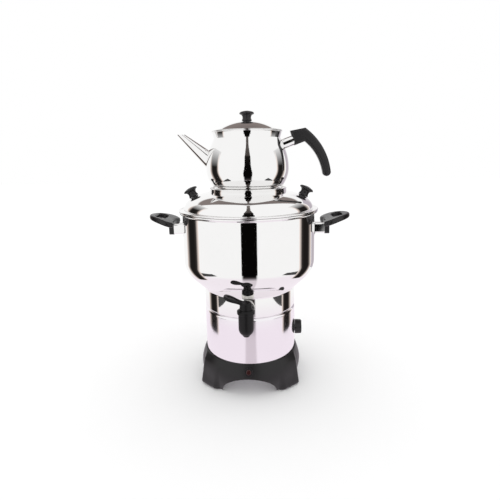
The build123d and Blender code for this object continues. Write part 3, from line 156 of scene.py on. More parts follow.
class LidSettings(bpy.types.PropertyGroup):
    """Sizes of the pot's domed lid."""

    seat: size("Seat", "Height of the brim's underside", 328.6 * MM)
    edge: size("Edge", "Radius of the brim's rolled edge", 129.6 * MM)
    roll: size("Roll", "Radius of the roll on the brim", 1.5 * MM)
    plug: size("Plug", "Depth of the ring inside the pot", 6.0 * MM)
    dome_foot: size("Dome foot", "Radius of the dome's foot", 121.0 * MM)
    dome_base: size("Dome base", "Height of the dome's centre", 331.0 * MM)
    dome_shoulder: size("Dome shoulder", "Radius of the centre of the dome's section", 60.0 * MM)
    dome_rise: size("Dome rise", "Rise of the dome's section", 32.0 * MM)
    collar: size("Collar", "Radius of the collar round the teapot", 72.5 * MM)
    collar_top: size("Collar top", "Height of the collar", 370.0 * MM)
    collar_roll: size("Collar roll", "Radius of the roll on the collar", 1.1 * MM)
    shelf: size("Shelf", "Height of the shelf under the teapot", 366.3 * MM)
    shelf_hole: size("Shelf hole", "Radius of the steam hole in the shelf", 55.0 * MM)
    knob_place: size("Knob place", "Radius at which the two knobs stand", 103.5 * MM)


class KnobSettings(bpy.types.PropertyGroup):
    """Sizes of a mushroom knob."""

    height: size("Height", "Height of the knob", 18.5 * MM)
    head: size("Head", "Radius of the knob's head", 13.6 * MM)
    waist: size("Waist", "Radius of the knob's waist", 7.9 * MM)
    foot: size("Foot", "Radius of the knob's foot", 9.2 * MM)


class TeapotSettings(bpy.types.PropertyGroup):
    """Sizes of the teapot, its spout and its lid."""

    base: size("Base", "Height of the teapot's floor", 366.6 * MM)
    base_radius: size("Base radius", "Radius of the flat floor", 57.0 * MM)
    belly_radius: size("Belly radius", "Greatest radius", 77.0 * MM)
    belly_height: size("Belly height", "Height of the greatest radius", 405.0 * MM)
    kink_radius: size("Kink radius", "Radius where the neck begins", 61.5 * MM)
    kink_height: size("Kink height", "Height where the neck begins", 460.5 * MM)
    neck_radius: size("Neck radius", "Radius under the rolled rim", 64.2 * MM)
    neck_height: size("Neck height", "Height of the rolled rim", 471.4 * MM)
    roll: size("Roll", "Radius of the rolled rim", 1.2 * MM)
    lid_base: size("Lid base", "Height of the lid's brim", 472.9 * MM)
    lid_dome: size("Lid dome", "Radius of the lid's dome", 58.0 * MM)
    lid_rise: size("Lid rise", "Rise of the lid's dome", 18.4 * MM)
    lid_edge: size("Lid edge", "Radius of the lid's brim", 64.6 * MM)


class BaseSettings(bpy.types.PropertyGroup):
    """Sizes of the moulded base."""

    steps: count("Steps", "Steps round the base", 720)
    rows: count("Rows", "Rows of the base's outer skin", 26)
    floor_gap: size("Floor gap", "Gap under the moulding, filled by the pads", 1.5 * MM)
    wall: size("Wall", "Thickness of the moulding", 3.0 * MM)
    lip_radius: size("Lip radius", "Outer radius of the lip", 89.8 * MM)
    lip_top: size("Lip top", "Height of the lip", 59.0 * MM)
    lip_edge: size("Lip edge", "Rounding of the lip", 1.5 * MM)
    deck_hole: size("Deck hole", "Radius of the hole in the deck", 66.0 * MM)
    vault: size("Vault", "Radius inside which the base is open from below", 80.0 * MM)
    arch_top: size("Arch top", "Height of the arches between the feet", 34.0 * MM)
    front_arch: size("Front arch", "Half width of the front and rear arches", 50.0 * MM)
    side_arch: size("Side arch", "Half width of the side arches", 44.0 * MM)
    foot_width: size("Foot width", "Width of a foot's face", 42.0 * MM)
    foot_edge: size("Foot edge", "Rounding of a foot's upright edges", 7.0 * MM)
    foot_blend: size("Foot blend", "Hollow where a foot grows out of the skirt", 7.0 * MM)


class StudioSettings(bpy.types.PropertyGroup):
    """Floor, lights, dark cards and camera."""

    reach: size("Camera reach", "Distance from the vessel's axis to the camera", 0.728)
    camera_height: size("Camera height", "Height of the camera", 0.425)
    azimuth: tilt("Azimuth", "Camera's place round the object", 3.0)
    pitch: tilt("Pitch", "Camera's tilt downward", 9.0)
    roll: tilt("Roll", "Camera's turn about its own view", 1.05)
    lens: bpy.props.FloatProperty(name="Lens", description="Focal length in millimetres", default=27.72)
    floor: size("Floor", "Half the width of the floor", 6.0)
    ambient: bpy.props.FloatProperty(name="Ambient", description="Strength of the soft light", default=1.1)
    white: colour("White", "Colour of the room", (1.0, 1.0, 1.0))
    # Painted shade seen only in polished steel: the floor's lilac tone near the object, and its darker tone
    # in front of it.
    near_floor_shade: colour("Near floor shade", "Floor near the object, seen in steel", (0.95, 0.88, 0.94))
    shade: colour("Shade", "Floor in front of the object, seen in steel", (0.70, 0.63, 0.68))


# ---- outlines: lists of (radius, height) --------------------------------------------------
def arc(centre, radius, start, sweep, steps=12):
    """Points on a circle, from an angle through a sweep, both in degrees."""
    angles = [math.radians(start + sweep * step / steps) for step in range(steps + 1)]
    return [(centre[0] + radius * math.cos(a), centre[1] + radius * math.sin(a)) for a in angles]


def rounded(points, radii, steps=10):
    """A polyline whose inner corners are rounded, with one radius for each."""
    path = [points[0]]
    for before, corner, after, radius in zip(points, points[1:], points[2:], radii):
        into = (Vector(corner) - Vector(before)).normalized()
        away = (Vector(after) - Vector(corner)).normalized()
        turn = math.atan2(into.x * away.y - into.y * away.x, into.dot(away))
        start = Vector(corner) - into * radius * math.tan(abs(turn) / 2)
        centre = start + Vector((-into.y, into.x)) * math.copysign(radius, turn)
        first = math.degrees(math.atan2(start.y - centre.y, start.x - centre.x))
        path += arc(centre, radius, first, math.degrees(turn), steps)
    return path + [points[-1]]


def flowing(points, start, end, steps=12):
    """A smooth curve through the points that leaves along start and arrives along end."""
    spots = np.array(points, float)
    spans = np.linalg.norm(np.diff(spots, axis=0), axis=1)
    matrix, sides = np.eye(len(spots)), np.zeros_like(spots)
    sides[0], sides[-1] = Vector(start).normalized(), Vector(end).normalized()
    for i in range(1, len(spots) - 1):
        left, right = spans[i - 1], spans[i]
        matrix[i, i - 1:i + 2] = right, 2 * (left + right), left
        steps_in, steps_out = spots[i] - spots[i - 1], spots[i + 1] - spots[i]
        sides[i] = 3 * (right / left * steps_in + left / right * steps_out)
    slopes = np.linalg.solve(matrix, sides)
    path = []
    for i, span in enumerate(spans):
        for t in np.linspace(0, 1, steps, endpoint=False):
            keep, move = 2 * t**3 - 3 * t**2 + 1, t**3 - 2 * t**2 + t
            point = keep * spots[i] + (1 - keep) * spots[i + 1]
            point += span * (move * slopes[i] + (t**3 - t**2) * slopes[i + 1])
            path.append(tuple(point))
    return path + [tuple(spots[-1])]


def tidy(path):
    """The path without points that repeat the one before."""
    kept = [path[0]]
    for point in path[1:]:
        if math.dist(point, kept[-1]) > 10 * MERGE:
            kept.append(point)
    return kept


def inner_side(path, thickness):
    """The path moved to its left by a wall's thickness."""
    spots = [Vector(point) for point in path]
    moved = []
    for i, spot in enumerate(spots):
        into = (spot - spots[i - 1]).normalized() if i else (spots[1] - spot).normalized()
        away = (spots[i + 1] - spot).normalized() if i + 1 < len(spots) else into
        across = Vector((-into.y - away.y, into.x + away.x)).normalized()
        moved.append(tuple(spot + across * thickness / across.dot(Vector((-into.y, into.x)))))
    return moved


def rolled(outer, inner, centre, radius):
    """A wall's outline with its far edge rolled into a bead."""
    outer, inner = (
        [point for point in side if math.dist(point, centre) > radius * ROLL_CLEAR] for side in (outer, inner)
    )
    start, end = (
        math.degrees(math.atan2(point[1] - centre[1], point[0] - centre[0]))
        for point in (outer[-1], inner[-1])
    )
    return outer + arc(centre, radius, start, (end - start) % 360, 28) + inner[::-1]


# ---- meshes ------------------------------------------------------------------------------
def group_input(tree, name, kind):
    return tree.interface.new_socket(name, in_out="INPUT", socket_type=kind)


def lathe_tree():
    """Geometry nodes that carry the object's own outline round the upright axis."""
    tree = bpy.data.node_groups.get("Lathe")
    if tree:
        return tree
    tree = bpy.data.node_groups.new("Lathe", "GeometryNodeTree")
    group_input(tree, "Outline", "NodeSocketGeometry")
    group_input(tree, "Steps", "NodeSocketInt")
    group_input(tree, "Material", "NodeSocketMaterial")
    tree.interface.new_socket("Shell", in_out="OUTPUT", socket_type="NodeSocketGeometry")
    add = tree.nodes.new
    link = tree.links.new
    given, made = add("NodeGroupInput"), add("NodeGroupOutput")
    outline, circle = add("GeometryNodeMeshToCurve"), add("GeometryNodeCurvePrimitiveCircle")
    upright, carry = add("GeometryNodeSetCurveNormal"), add("GeometryNodeCurveToMesh")
    merge, smooth = add("GeometryNodeMergeByDistance"), add("GeometryNodeSetShadeSmooth")
    realize, paint = add("GeometryNodeRealizeInstances"), add("GeometryNodeSetMaterial")
    circle.inputs["Radius"].default_value = LATHE_REACH
    upright.mode = "Z_UP"
    merge.inputs["Distance"].default_value = MERGE
    link(given.outputs["Outline"], outline.inputs["Mesh"])
    link(given.outputs["Steps"], circle.inputs["Resolution"])
    link(circle.outputs["Curve"], upright.inputs["Curve"])
    link(upright.outputs["Curve"], carry.inputs["Curve"])
    link(outline.outputs["Curve"], carry.inputs["Profile Curve"])
    link(carry.outputs["Mesh"], merge.inputs["Geometry"])
    link(merge.outputs["Geometry"], smooth.inputs["Geometry"])
    link(smooth.outputs["Geometry"], realize.inputs["Geometry"])
    link(realize.outputs["Geometry"], paint.inputs["Geometry"])
    link(given.outputs["Material"], paint.inputs["Material"])
    link(paint.outputs["Geometry"], made.inputs["Shell"])
    return tree


def grown(mesh, tree, inputs):
    """The plain mesh that a node tree makes from a mesh, with the tree's inputs given by name."""
    seed = bpy.data.objects.new(mesh.name, mesh)
    bpy.context.scene.collection.objects.link(seed)
    growth = seed.modifiers.new("Growth", "NODES")
    growth.node_group = tree
    for socket in tree.interface.items_tree:
        if socket.name in inputs:
            growth[socket.identifier] = inputs[socket.name]
    evaluated = seed.evaluated_get(bpy.context.evaluated_depsgraph_get())
    result = bpy.data.meshes.new_from_object(evaluated)
    result.name = mesh.name
    bpy.data.objects.remove(seed)
    bpy.data.meshes.remove(mesh)
    return result


def facing_out(mesh):
    """Turns a closed mesh's faces outward and shades it smooth up to its sharp edges."""
    shell = bmesh.new()
    shell.from_mesh(mesh)
    if shell.calc_volume(signed=True) < 0:
        bmesh.ops.reverse_faces(shell, faces=shell.faces[:])
    shell.to_mesh(mesh)
    shell.free()
    mesh.shade_smooth()
    mesh.set_sharp_from_angle(angle=SMOOTH_ANGLE)
    return mesh


def turned(name, outline, material, steps, place=None):
    """A shell turned from an outline round the vessel's axis, or where the place matrix puts it."""
    path = tidy(outline)
    on_axis = path[0][0] < MERGE and path[-1][0] < MERGE
    wire = bpy.data.meshes.new(name)
    edges = [(i, i + 1) for i in range(len(path) - 1)] + ([] if on_axis else [(len(path) - 1, 0)])
    wire.from_pydata([(radius - LATHE_REACH, -height, 0) for radius, height in path], edges, [])
    mesh = grown(wire, lathe_tree(), {"Steps": steps, "Material": material})
    mesh.transform(place or Matrix.Translation((0, AXIS_Y, 0)))
    return facing_out(mesh)


def loft(name, rings, closed=False):
    """A mesh through rings of points: each ring closes on itself, and the last may join the first."""
    mesh = bpy.data.meshes.new(name)
    wide = len(rings[0])
    faces = []
    for row in range(len(rings) - (0 if closed else 1)):
        this, following = row * wide, (row + 1) % len(rings) * wide
        for i in range(wide):
            j = (i + 1) % wide
            faces.append((this + i, this + j, following + j, following + i))
    mesh.from_pydata([tuple(point) for ring in rings for point in ring], [], faces)
    mesh.update()
    return facing_out(mesh)


def settle(mesh, name, material, *nodes):
    """Makes a finished piece of a mesh: it stands for the named nodes and moves with their body."""
    mesh.materials.clear()
    mesh.materials.append(material)
    piece = bpy.data.objects.new(name, mesh)
    bpy.context.scene.collection.objects.link(piece)
    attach(piece, frame["nodes"][nodes[0]]["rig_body"])
    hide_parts(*nodes)
    return piece


def paint_nodes(material, *nodes):
    """Gives CAD nodes whose shape is already right a better material."""
    for node in nodes:
        slots = frame["nodes"][node].material_slots
        for slot in slots:
            slot.material = material


# ---- materials ---------------------------------------------------------------------------
def new_material(name):
    """An empty principled material with the object's coordinates at hand."""
    material = bpy.data.materials.new(name)
    material.use_nodes = True
    tree = material.node_tree
    shader = tree.nodes["Principled BSDF"]
    place = tree.nodes.new("ShaderNodeTexCoord").outputs["Object"]
    return material, tree, shader, place


def add_node(tree, kind, inputs=None, **settings):
    """A node whose inputs, by name or number, are values or the sockets of other nodes."""
    node = tree.nodes.new(kind)
    for name, value in settings.items():
        setattr(node, name, value)
    for name, value in (inputs or {}).items():
        if isinstance(value, bpy.types.NodeSocket):
            tree.links.new(value, node.inputs[name])
        else:
            node.inputs[name].default_value = value
    return node


def noise(tree, place, scale, detail=3.0, roughness=0.5):
    inputs = {"Vector": place, "Scale": scale, "Detail": detail, "Roughness": roughness}
    return add_node(tree, "ShaderNodeTexNoise", inputs).outputs["Fac"]


def between(tree, value, low, high, start=0.3, end=0.7):
    """Maps a texture's value from start..end to low..high."""
    inputs = {"Value": value, "From Min": start, "From Max": end, "To Min": low, "To Max": high}
    return add_node(tree, "ShaderNodeMapRange", inputs).outputs["Result"]


def tinted(tree, value, dark, light):
    """Colour between two tones by a texture's value."""
    inputs = {"Factor": value, "A": (*dark, 1.0), "B": (*light, 1.0)}
    return add_node(tree, "ShaderNodeMix", inputs, data_type="RGBA").outputs["Result"]


def bump(tree, shader, height, strength, distance):
    inputs = {"Height": height, "Strength": strength, "Distance": distance}
    normal = add_node(tree, "ShaderNodeBump", inputs).outputs["Normal"]
    tree.links.new(normal, shader.inputs["Normal"])


def turned_marks(tree, place, fine):
    """Noise drawn out round the vessel's axis, as a polishing wheel leaves it."""
    centre = add_node(tree, "ShaderNodeMapping", {"Vector": place, "Location": (0, -AXIS_Y, 0)})
    split = add_node(tree, "ShaderNodeSeparateXYZ", {"Vector": centre.outputs["Vector"]}).outputs
    flat = add_node(tree, "ShaderNodeCombineXYZ", {"X": split["X"], "Y": split["Y"]}).outputs["Vector"]
    radius = add_node(tree, "ShaderNodeVectorMath", {0: flat}, operation="LENGTH").outputs["Value"]
    angle = add_node(tree, "ShaderNodeMath", {0: split["Y"], 1: split["X"]}, operation="ARCTAN2")
    slow = add_node(tree, "ShaderNodeMath", {0: angle.outputs["Value"], 1: MARK_DRAW}, operation="MULTIPLY")
    rings = {"X": radius, "Y": split["Z"], "Z": slow.outputs["Value"]}
    rings = add_node(tree, "ShaderNodeCombineXYZ", rings).outputs["Vector"]
    return noise(tree, rings, fine, 4.0, 0.6)


def steel_material(name, tone, roughness, spread, mark_strength):
    """Polished sheet: faint marks round the axis, soft smudges and slightly uneven gloss."""
    material, tree, shader, place = new_material(name)
    shader.inputs["Metallic"].default_value = 1.0
    smudge = noise(tree, place, 22.0, 5.0, 0.6)
    dull = tuple(0.96 * channel for channel in tone)
    tree.links.new(tinted(tree, smudge, dull, tone), shader.inputs["Base Color"])
    tree.links.new(between(tree, smudge, roughness, roughness + spread), shader.inputs["Roughness"])
    bump(tree, shader, turned_marks(tree, place, 900.0), mark_strength, 0.00002)
    return material


def moulded_material(name, tone, roughness, grain_scale, grain_strength, shine=0.5):
    """Moulded plastic: fine grain, cloudy tone and uneven gloss."""
    material, tree, shader, place = new_material(name)
    shader.inputs["Specular IOR Level"].default_value = shine
    cloud = noise(tree, place, 35.0, 4.0, 0.55)
    pale = tuple(1.35 * channel for channel in tone)
    tree.links.new(tinted(tree, cloud, tone, pale), shader.inputs["Base Color"])
    tree.links.new(between(tree, cloud, roughness, roughness + 0.1), shader.inputs["Roughness"])
    bump(tree, shader, noise(tree, place, grain_scale, 3.0, 0.6), grain_strength, 0.0001)
    return material


def metal_material(name, tone, roughness):
    """Plain plated or drawn metal with fine mottling."""
    material, tree, shader, place = new_material(name)
    shader.inputs["Metallic"].default_value = 1.0
    mottle = noise(tree, place, 160.0, 4.0, 0.6)
    dull = tuple(0.8 * channel for channel in tone)
    tree.links.new(tinted(tree, mottle, dull, tone), shader.inputs["Base Color"])
    tree.links.new(between(tree, mottle, roughness, roughness + 0.14), shader.inputs["Roughness"])
    bump(tree, shader, noise(tree, place, 900.0), 0.15, 0.0001)
    return material


def finish(name):
    """The material of that name, made once from the finish settings."""
    made = bpy.data.materials.get(name)
    if made:
        return made
    look = bpy.context.scene.samovar_finish
    steels = {
        "mirror_steel": (look.steel, look.steel_roughness, 0.02, 0.05),
        "satin_steel": (look.satin, look.satin_roughness, 0.05, 0.2),
    }
    metals = {
        "zinc_plate": (look.zinc, 0.3),
        "dull_tube": ((0.33, 0.32, 0.31), 0.4),
        "brass": ((0.78, 0.60, 0.30), 0.25),
    }
    mouldings = {                        # tone, roughness, scale and strength of the grain, shine
        "black_bakelite": (look.bakelite, look.bakelite_roughness, 700.0, 0.1, 0.4),
        "charcoal_moulding": (look.base, look.base_roughness, 1400.0, 0.3, 0.35),
        "tap_moulding": (look.tap, 0.3, 900.0, 0.2, 0.2),
        "black_rubber": ((0.03, 0.03, 0.03), 0.65, 800.0, 0.3),
        "pale_silicone": (look.silicone, 0.5, 500.0, 0.15),
        "acetal": ((0.55, 0.54, 0.50), 0.4, 500.0, 0.1),
        "ivory_moulding": ((0.58, 0.55, 0.46), 0.5, 700.0, 0.2),
        "dark_lens": ((0.03, 0.008, 0.008), 0.12, 300.0, 0.05),
    }
    for maker, kinds in (
        (steel_material, steels), (metal_material, metals),
        (moulded_material, mouldings), (glass_material, {"lamp_glass": ()}),
    ):
        if name in kinds:
            return maker(name, *kinds[name])
    raise KeyError(name)


def glass_material(name):
    """Clear capsule with a warm tint and faint waves."""
    material, tree, shader, place = new_material(name)
    shader.inputs["Transmission Weight"].default_value = 1.0
    shader.inputs["IOR"].default_value = 1.48
    wave = noise(tree, place, 260.0)
    tree.links.new(tinted(tree, wave, (0.95, 0.80, 0.66), (0.98, 0.90, 0.82)), shader.inputs["Base Color"])
    tree.links.new(between(tree, wave, 0.02, 0.08), shader.inputs["Roughness"])
    return material


# ---- boiler ------------------------------------------------------------------------------
class SAMOVAR_OT_boiler(bpy.types.Operator):
    """Turn the boiler: floor, neck, cone, pot wall and rolled rim"""

    bl_idname = "samovar.boiler"
    bl_label = "Boiler"

    def execute(self, context):
        s = context.scene.samovar_shell
        outer = rounded(
            [
                (0, s.floor),
                (s.neck_radius, s.floor),
                (s.neck_radius, s.neck_top),
                (s.pot_radius, s.cone_top),
                (s.pot_radius, s.rim_height - s.rim_flare),
                (s.rim_radius, s.rim_height),
            ],
            [s.corner, NECK_CORNER, s.bowl_corner, RIM_CORNER],
            steps=16,
        )
        outer = tidy(outer)
        outline = rolled(outer, inner_side(outer, s.sheet), (s.rim_radius, s.rim_height), s.rim_roll)
        steel = finish("mirror_steel")
        settle(turned("boiler", outline, steel, s.steps), "boiler", steel, "tank")
        return {"FINISHED"}


class SAMOVAR_OT_housing(bpy.types.Operator):
    """Turn the lower housing with its rounded shoulder and its inward flange"""

    bl_idname = "samovar.housing"
    bl_label = "Lower housing"

    def execute(self, context):
        s = context.scene.samovar_shell
        wall = [(s.neck_radius, s.deck), (s.neck_radius, s.floor), (s.neck_radius - s.flange, s.floor)]
        outer = tidy(rounded(wall, [s.shoulder], steps=20))
        steel = finish("satin_steel")
        outline = outer + inner_side(outer, s.thin_sheet)[::-1]
        settle(turned("housing", outline, steel, s.steps), "housing", steel, "lower_housing")
        return {"FINISHED"}


# ---- pot lid -----------------------------------------------------------------------------
def dome(lid, lift, angles):
    """Points on the dome's elliptic section, inset by a wall's thickness."""
    return [
        (
            lid.dome_shoulder + (lid.dome_foot - lid.dome_shoulder - lift) * math.cos(a),
            lid.dome_base + (lid.dome_rise - lift) * math.sin(a),
        )
        for a in angles
    ]


class SAMOVAR_OT_pot_lid(bpy.types.Operator):
    """Turn the domed lid with its brim, plug ring, collar and shelf"""

    bl_idname = "samovar.pot_lid"
    bl_label = "Pot lid"

    def execute(self, context):
        lid, sheet = context.scene.samovar_lid, context.scene.samovar_shell.sheet
        reach = (lid.collar - lid.dome_shoulder) / (lid.dome_foot - lid.dome_shoulder)
        rising = np.linspace(math.radians(DOME_START), math.acos(reach), 48)
        falling = np.linspace(math.acos(reach), 0, 32)
        brim_top = lid.seat + sheet
        outline = [(lid.dome_foot - sheet, lid.seat - lid.plug), (lid.dome_foot, lid.seat - lid.plug)]
        outline += [(lid.dome_foot, lid.seat)]
        outline += arc((lid.edge, lid.seat + lid.roll), lid.roll, -100, 250, 24)
        outline += rounded([(lid.edge - lid.roll, brim_top), (lid.dome_foot, brim_top),
                            dome(lid, 0, rising[:1])[0]], [1.2 * MM])
        outline += dome(lid, 0, rising)
        outline += arc((lid.collar - lid.collar_roll / 2, lid.collar_top - lid.collar_roll),
                       lid.collar_roll, -40, 260, 20)
        outline += rounded(
            [
                (lid.collar - sheet, lid.collar_top - 2 * lid.collar_roll),
                (lid.collar - sheet, lid.shelf),
                (lid.shelf_hole, lid.shelf),
                (lid.shelf_hole, lid.shelf - sheet),
                (lid.collar - sheet, lid.shelf - sheet),
                dome(lid, sheet, falling[:1])[0],
            ],
            [0.8 * MM, 0.4 * MM, 0.4 * MM, 0.8 * MM],
            steps=5,
        )
        outline += dome(lid, sheet, falling)
        steel = finish("mirror_steel")
        steps = context.scene.samovar_shell.steps
        settle(turned("domed_lid", outline, steel, steps), "domed_lid", steel, "pot_lid")
        return {"FINISHED"}


# ---- knobs -------------------------------------------------------------------------------
def knob_outline(k):
    """Mushroom knob: a spool-shaped stem, a thin-edged head and a low crown."""
    lip = (0.91 * k.head, 0.655 * k.height)
    stem = [(k.foot, 0.08 * k.height), (k.waist + 0.2 * MM, 0.25 * k.height), (k.waist, 0.36 * k.height),
            (k.waist + 0.7 * MM, 0.5 * k.height), (0.77 * k.head, 0.61 * k.height), lip]
    crown = [lip, (k.head, 0.73 * k.height), (0.93 * k.head, 0.83 * k.height),
             (0.62 * k.head, 0.93 * k.height), (0, k.height)]
    outline = [(0, 0), (k.foot - 0.3 * MM, 0), (k.foot, 0.3 * MM)]
    return outline + flowing(stem, (-0.3, 1), (1, 0.25), 6) + flowing(crown, (1, 0.25), (-1, 0), 8)


def lid_knob_place(lid, side):
    """Matrix that stands a knob square to the dome on one side."""
    reach = (lid.knob_place - lid.dome_shoulder) / (lid.dome_foot - lid.dome_shoulder)
    rise = math.sqrt(1 - reach * reach)
    lean = math.atan2(reach / (lid.dome_foot - lid.dome_shoulder), rise / lid.dome_rise)
    place = Matrix.Translation((side * lid.knob_place, AXIS_Y, lid.dome_base + lid.dome_rise * rise))
    return place @ Matrix.Rotation(side * lean, 4, "Y")


class SAMOVAR_OT_knobs(bpy.types.Operator):
    """Turn the three mushroom knobs of the two lids"""

    bl_idname = "samovar.knobs"
    bl_label = "Lid knobs"

    def execute(self, context):
        scene = context.scene
        outline = knob_outline(scene.samovar_knob)
        pot = scene.samovar_teapot
        places = {
            "lid_knob_right": lid_knob_place(scene.samovar_lid, RIGHT),
            "lid_knob_left": lid_knob_place(scene.samovar_lid, LEFT),
            "teapot_knob": Matrix.Translation((0, AXIS_Y, pot.lid_base + pot.lid_rise)),
        }
        bakelite = finish("black_bakelite")
        for node, place in places.items():
            mesh = turned(f"{node}_turned", outline, bakelite, 96, place)
            settle(mesh, f"{node}_turned", bakelite, node)
        paint_nodes(finish("zinc_plate"), "lid_knob_screws", "teapot_knob_screw")
        return {"FINISHED"}


# ---- teapot ------------------------------------------------------------------------------
def teapot_wall(pot):
    """Outer side of the teapot from the middle of its floor to its rim."""
    belly = (pot.belly_radius, pot.belly_height)
    hip = (pot.belly_radius - POT_HIP[0], pot.base + POT_HIP[1])
    shoulder = (pot.belly_radius - POT_SHOULDER[0], pot.belly_height + POT_SHOULDER[1])
    kink = (pot.kink_radius, pot.kink_height)
    wall = [(0, pot.base)]
    wall += flowing([(pot.base_radius, pot.base), hip, belly], (1, 0.12), (0, 1), 24)
    wall += flowing([belly, shoulder, kink], (0, 1), (-0.42, 1), 24)
    wall += [(pot.neck_radius, pot.neck_height)]
    return tidy(wall)


class SAMOVAR_OT_teapot(bpy.types.Operator):
    """Turn the teapot's body with its rolled rim"""

    bl_idname = "samovar.teapot"
    bl_label = "Teapot"

    def execute(self, context):
        pot, shell = context.scene.samovar_teapot, context.scene.samovar_shell
        wall = teapot_wall(pot)
        roll = (pot.neck_radius + 0.2 * MM, pot.neck_height)
        outline = rolled(wall, inner_side(wall, shell.thin_sheet), roll, pot.roll)
        steel = finish("mirror_steel")
        settle(turned("teapot_shell", outline, steel, shell.steps), "teapot_shell", steel, "teapot_body")
        paint_nodes(finish("mirror_steel"), "teapot_disc")
        return {"FINISHED"}


class SAMOVAR_OT_teapot_lid(bpy.types.Operator):
    """Turn the teapot's lid: brim, plug ring and low dome"""

    bl_idname = "samovar.teapot_lid"
    bl_label = "Teapot lid"

    def execute(self, context):
        pot, shell = context.scene.samovar_teapot, context.scene.samovar_shell
        sheet = shell.thin_sheet
        foot, rise = (pot.lid_dome, pot.lid_base + sheet), pot.lid_rise - sheet
        curve = (foot[0] ** 2 + rise**2) / (2 * rise)
        sweep = math.degrees(math.asin(foot[0] / curve))
        top = arc((0, foot[1] + rise - curve), curve, 90 - sweep, sweep, 30)
        under = inner_side(top, sheet)
        brim = arc((pot.lid_edge, pot.lid_base + sheet / 2), 0.7 * sheet, -90, 180)
        plug = (pot.lid_dome - LID_PLUG[0], pot.lid_base - LID_PLUG[1])
        outline = brim + [(foot[0] + 1.0 * MM, foot[1])] + top[1:]
        outline += under[:0:-1]
        outline += [(plug[0], pot.lid_base), plug]
        outline += [(plug[0] + sheet, plug[1]), (plug[0] + sheet, pot.lid_base)]
        steel = finish("mirror_steel")
        settle(turned("teapot_cover", outline, steel, shell.steps), "teapot_cover", steel, "teapot_lid")
        return {"FINISHED"}


class SAMOVAR_OT_teapot_fittings(bpy.types.Operator):
    """Finish the spout, the ferrule and the bakelite handle"""

    bl_idname = "samovar.teapot_fittings"
    bl_label = "Spout and handle"

    def execute(self, context):
        paint_nodes(finish("mirror_steel"), "teapot_spout", "handle_ferrule")
        paint_nodes(finish("zinc_plate"), "handle_stud")
        paint_nodes(finish("black_bakelite"), "teapot_handle")
        return {"FINISHED"}


# ---- base --------------------------------------------------------------------------------
def blended(first, second, blend):
    """Smooth minimum of two distances."""
    near = np.clip(1 - np.abs(first - second) / blend, 0, 1)
    return np.minimum(first, second) - near * near * blend / 4


FOOT_FACING = math.radians(50)          # direction of a foot's face, from +X towards +Y
FOOT_FACE = 100.8 * MM                  # distance of that face from the vessel's axis
FOOT_SHIFT = -18.3 * MM                 # its middle stands this far aside, towards +X
# (height, set-back) in mm of a foot's face, and (radius, height) in mm of the skirt
FOOT_LEAN = ((1.5, 2.0), (5.5, 0.0), (28.0, 5.0), (47.0, 10.5), (60.0, 24.0))
SKIN_SEARCH = (0.07, 0.125)             # the skin lies between these distances from the axis
SKIN_HALVINGS = 34
SKIRT = ((92.0, 1.5), (95.0, 14.0), (96.8, 33.0), (94.0, 46.0), (89.8, 57.5))


def skirt_reach(b, angle, height):
    """Distance from the axis to the base's outer skin, for arrays of angles and heights."""
    curve = np.array(flowing([(r * MM, z * MM) for r, z in SKIRT], (0.3, 1), (-0.5, 1), 20))
    skirt = np.interp(height, curve[:, 1], curve[:, 0])
    lean = np.interp(height / MM, *np.array(FOOT_LEAN).T) * MM
    folded = np.abs((angle + math.pi / 2) % math.pi - math.pi / 2)
    turn = folded - FOOT_FACING
    near, far = (np.full_like(height, reach) for reach in SKIN_SEARCH)
    for _ in range(SKIN_HALVINGS):
        reach = (near + far) / 2
        out = reach * np.cos(turn) - (FOOT_FACE - lean)
        aside = np.abs(reach * np.sin(turn) - FOOT_SHIFT) - b.foot_width / 2
        foot = -blended(-out, -aside, b.foot_edge)
        inside = blended(foot, reach - skirt, b.foot_blend) < 0
        near, far = np.where(inside, reach, near), np.where(inside, far, reach)
    return near


def arch_height(b, reach, angle):
    """Height of the base's lower edge above a spot on the floor."""
    across, along = np.abs(reach * np.cos(angle)), np.abs(reach * np.sin(angle))
    front = b.arch_top * np.sqrt(np.clip(1 - (across / b.front_arch) ** 2, 0, 1))
    side = b.arch_top * np.sqrt(np.clip(1 - (along / b.side_arch) ** 2, 0, 1))
    return np.maximum(b.floor_gap, np.maximum(front, side))


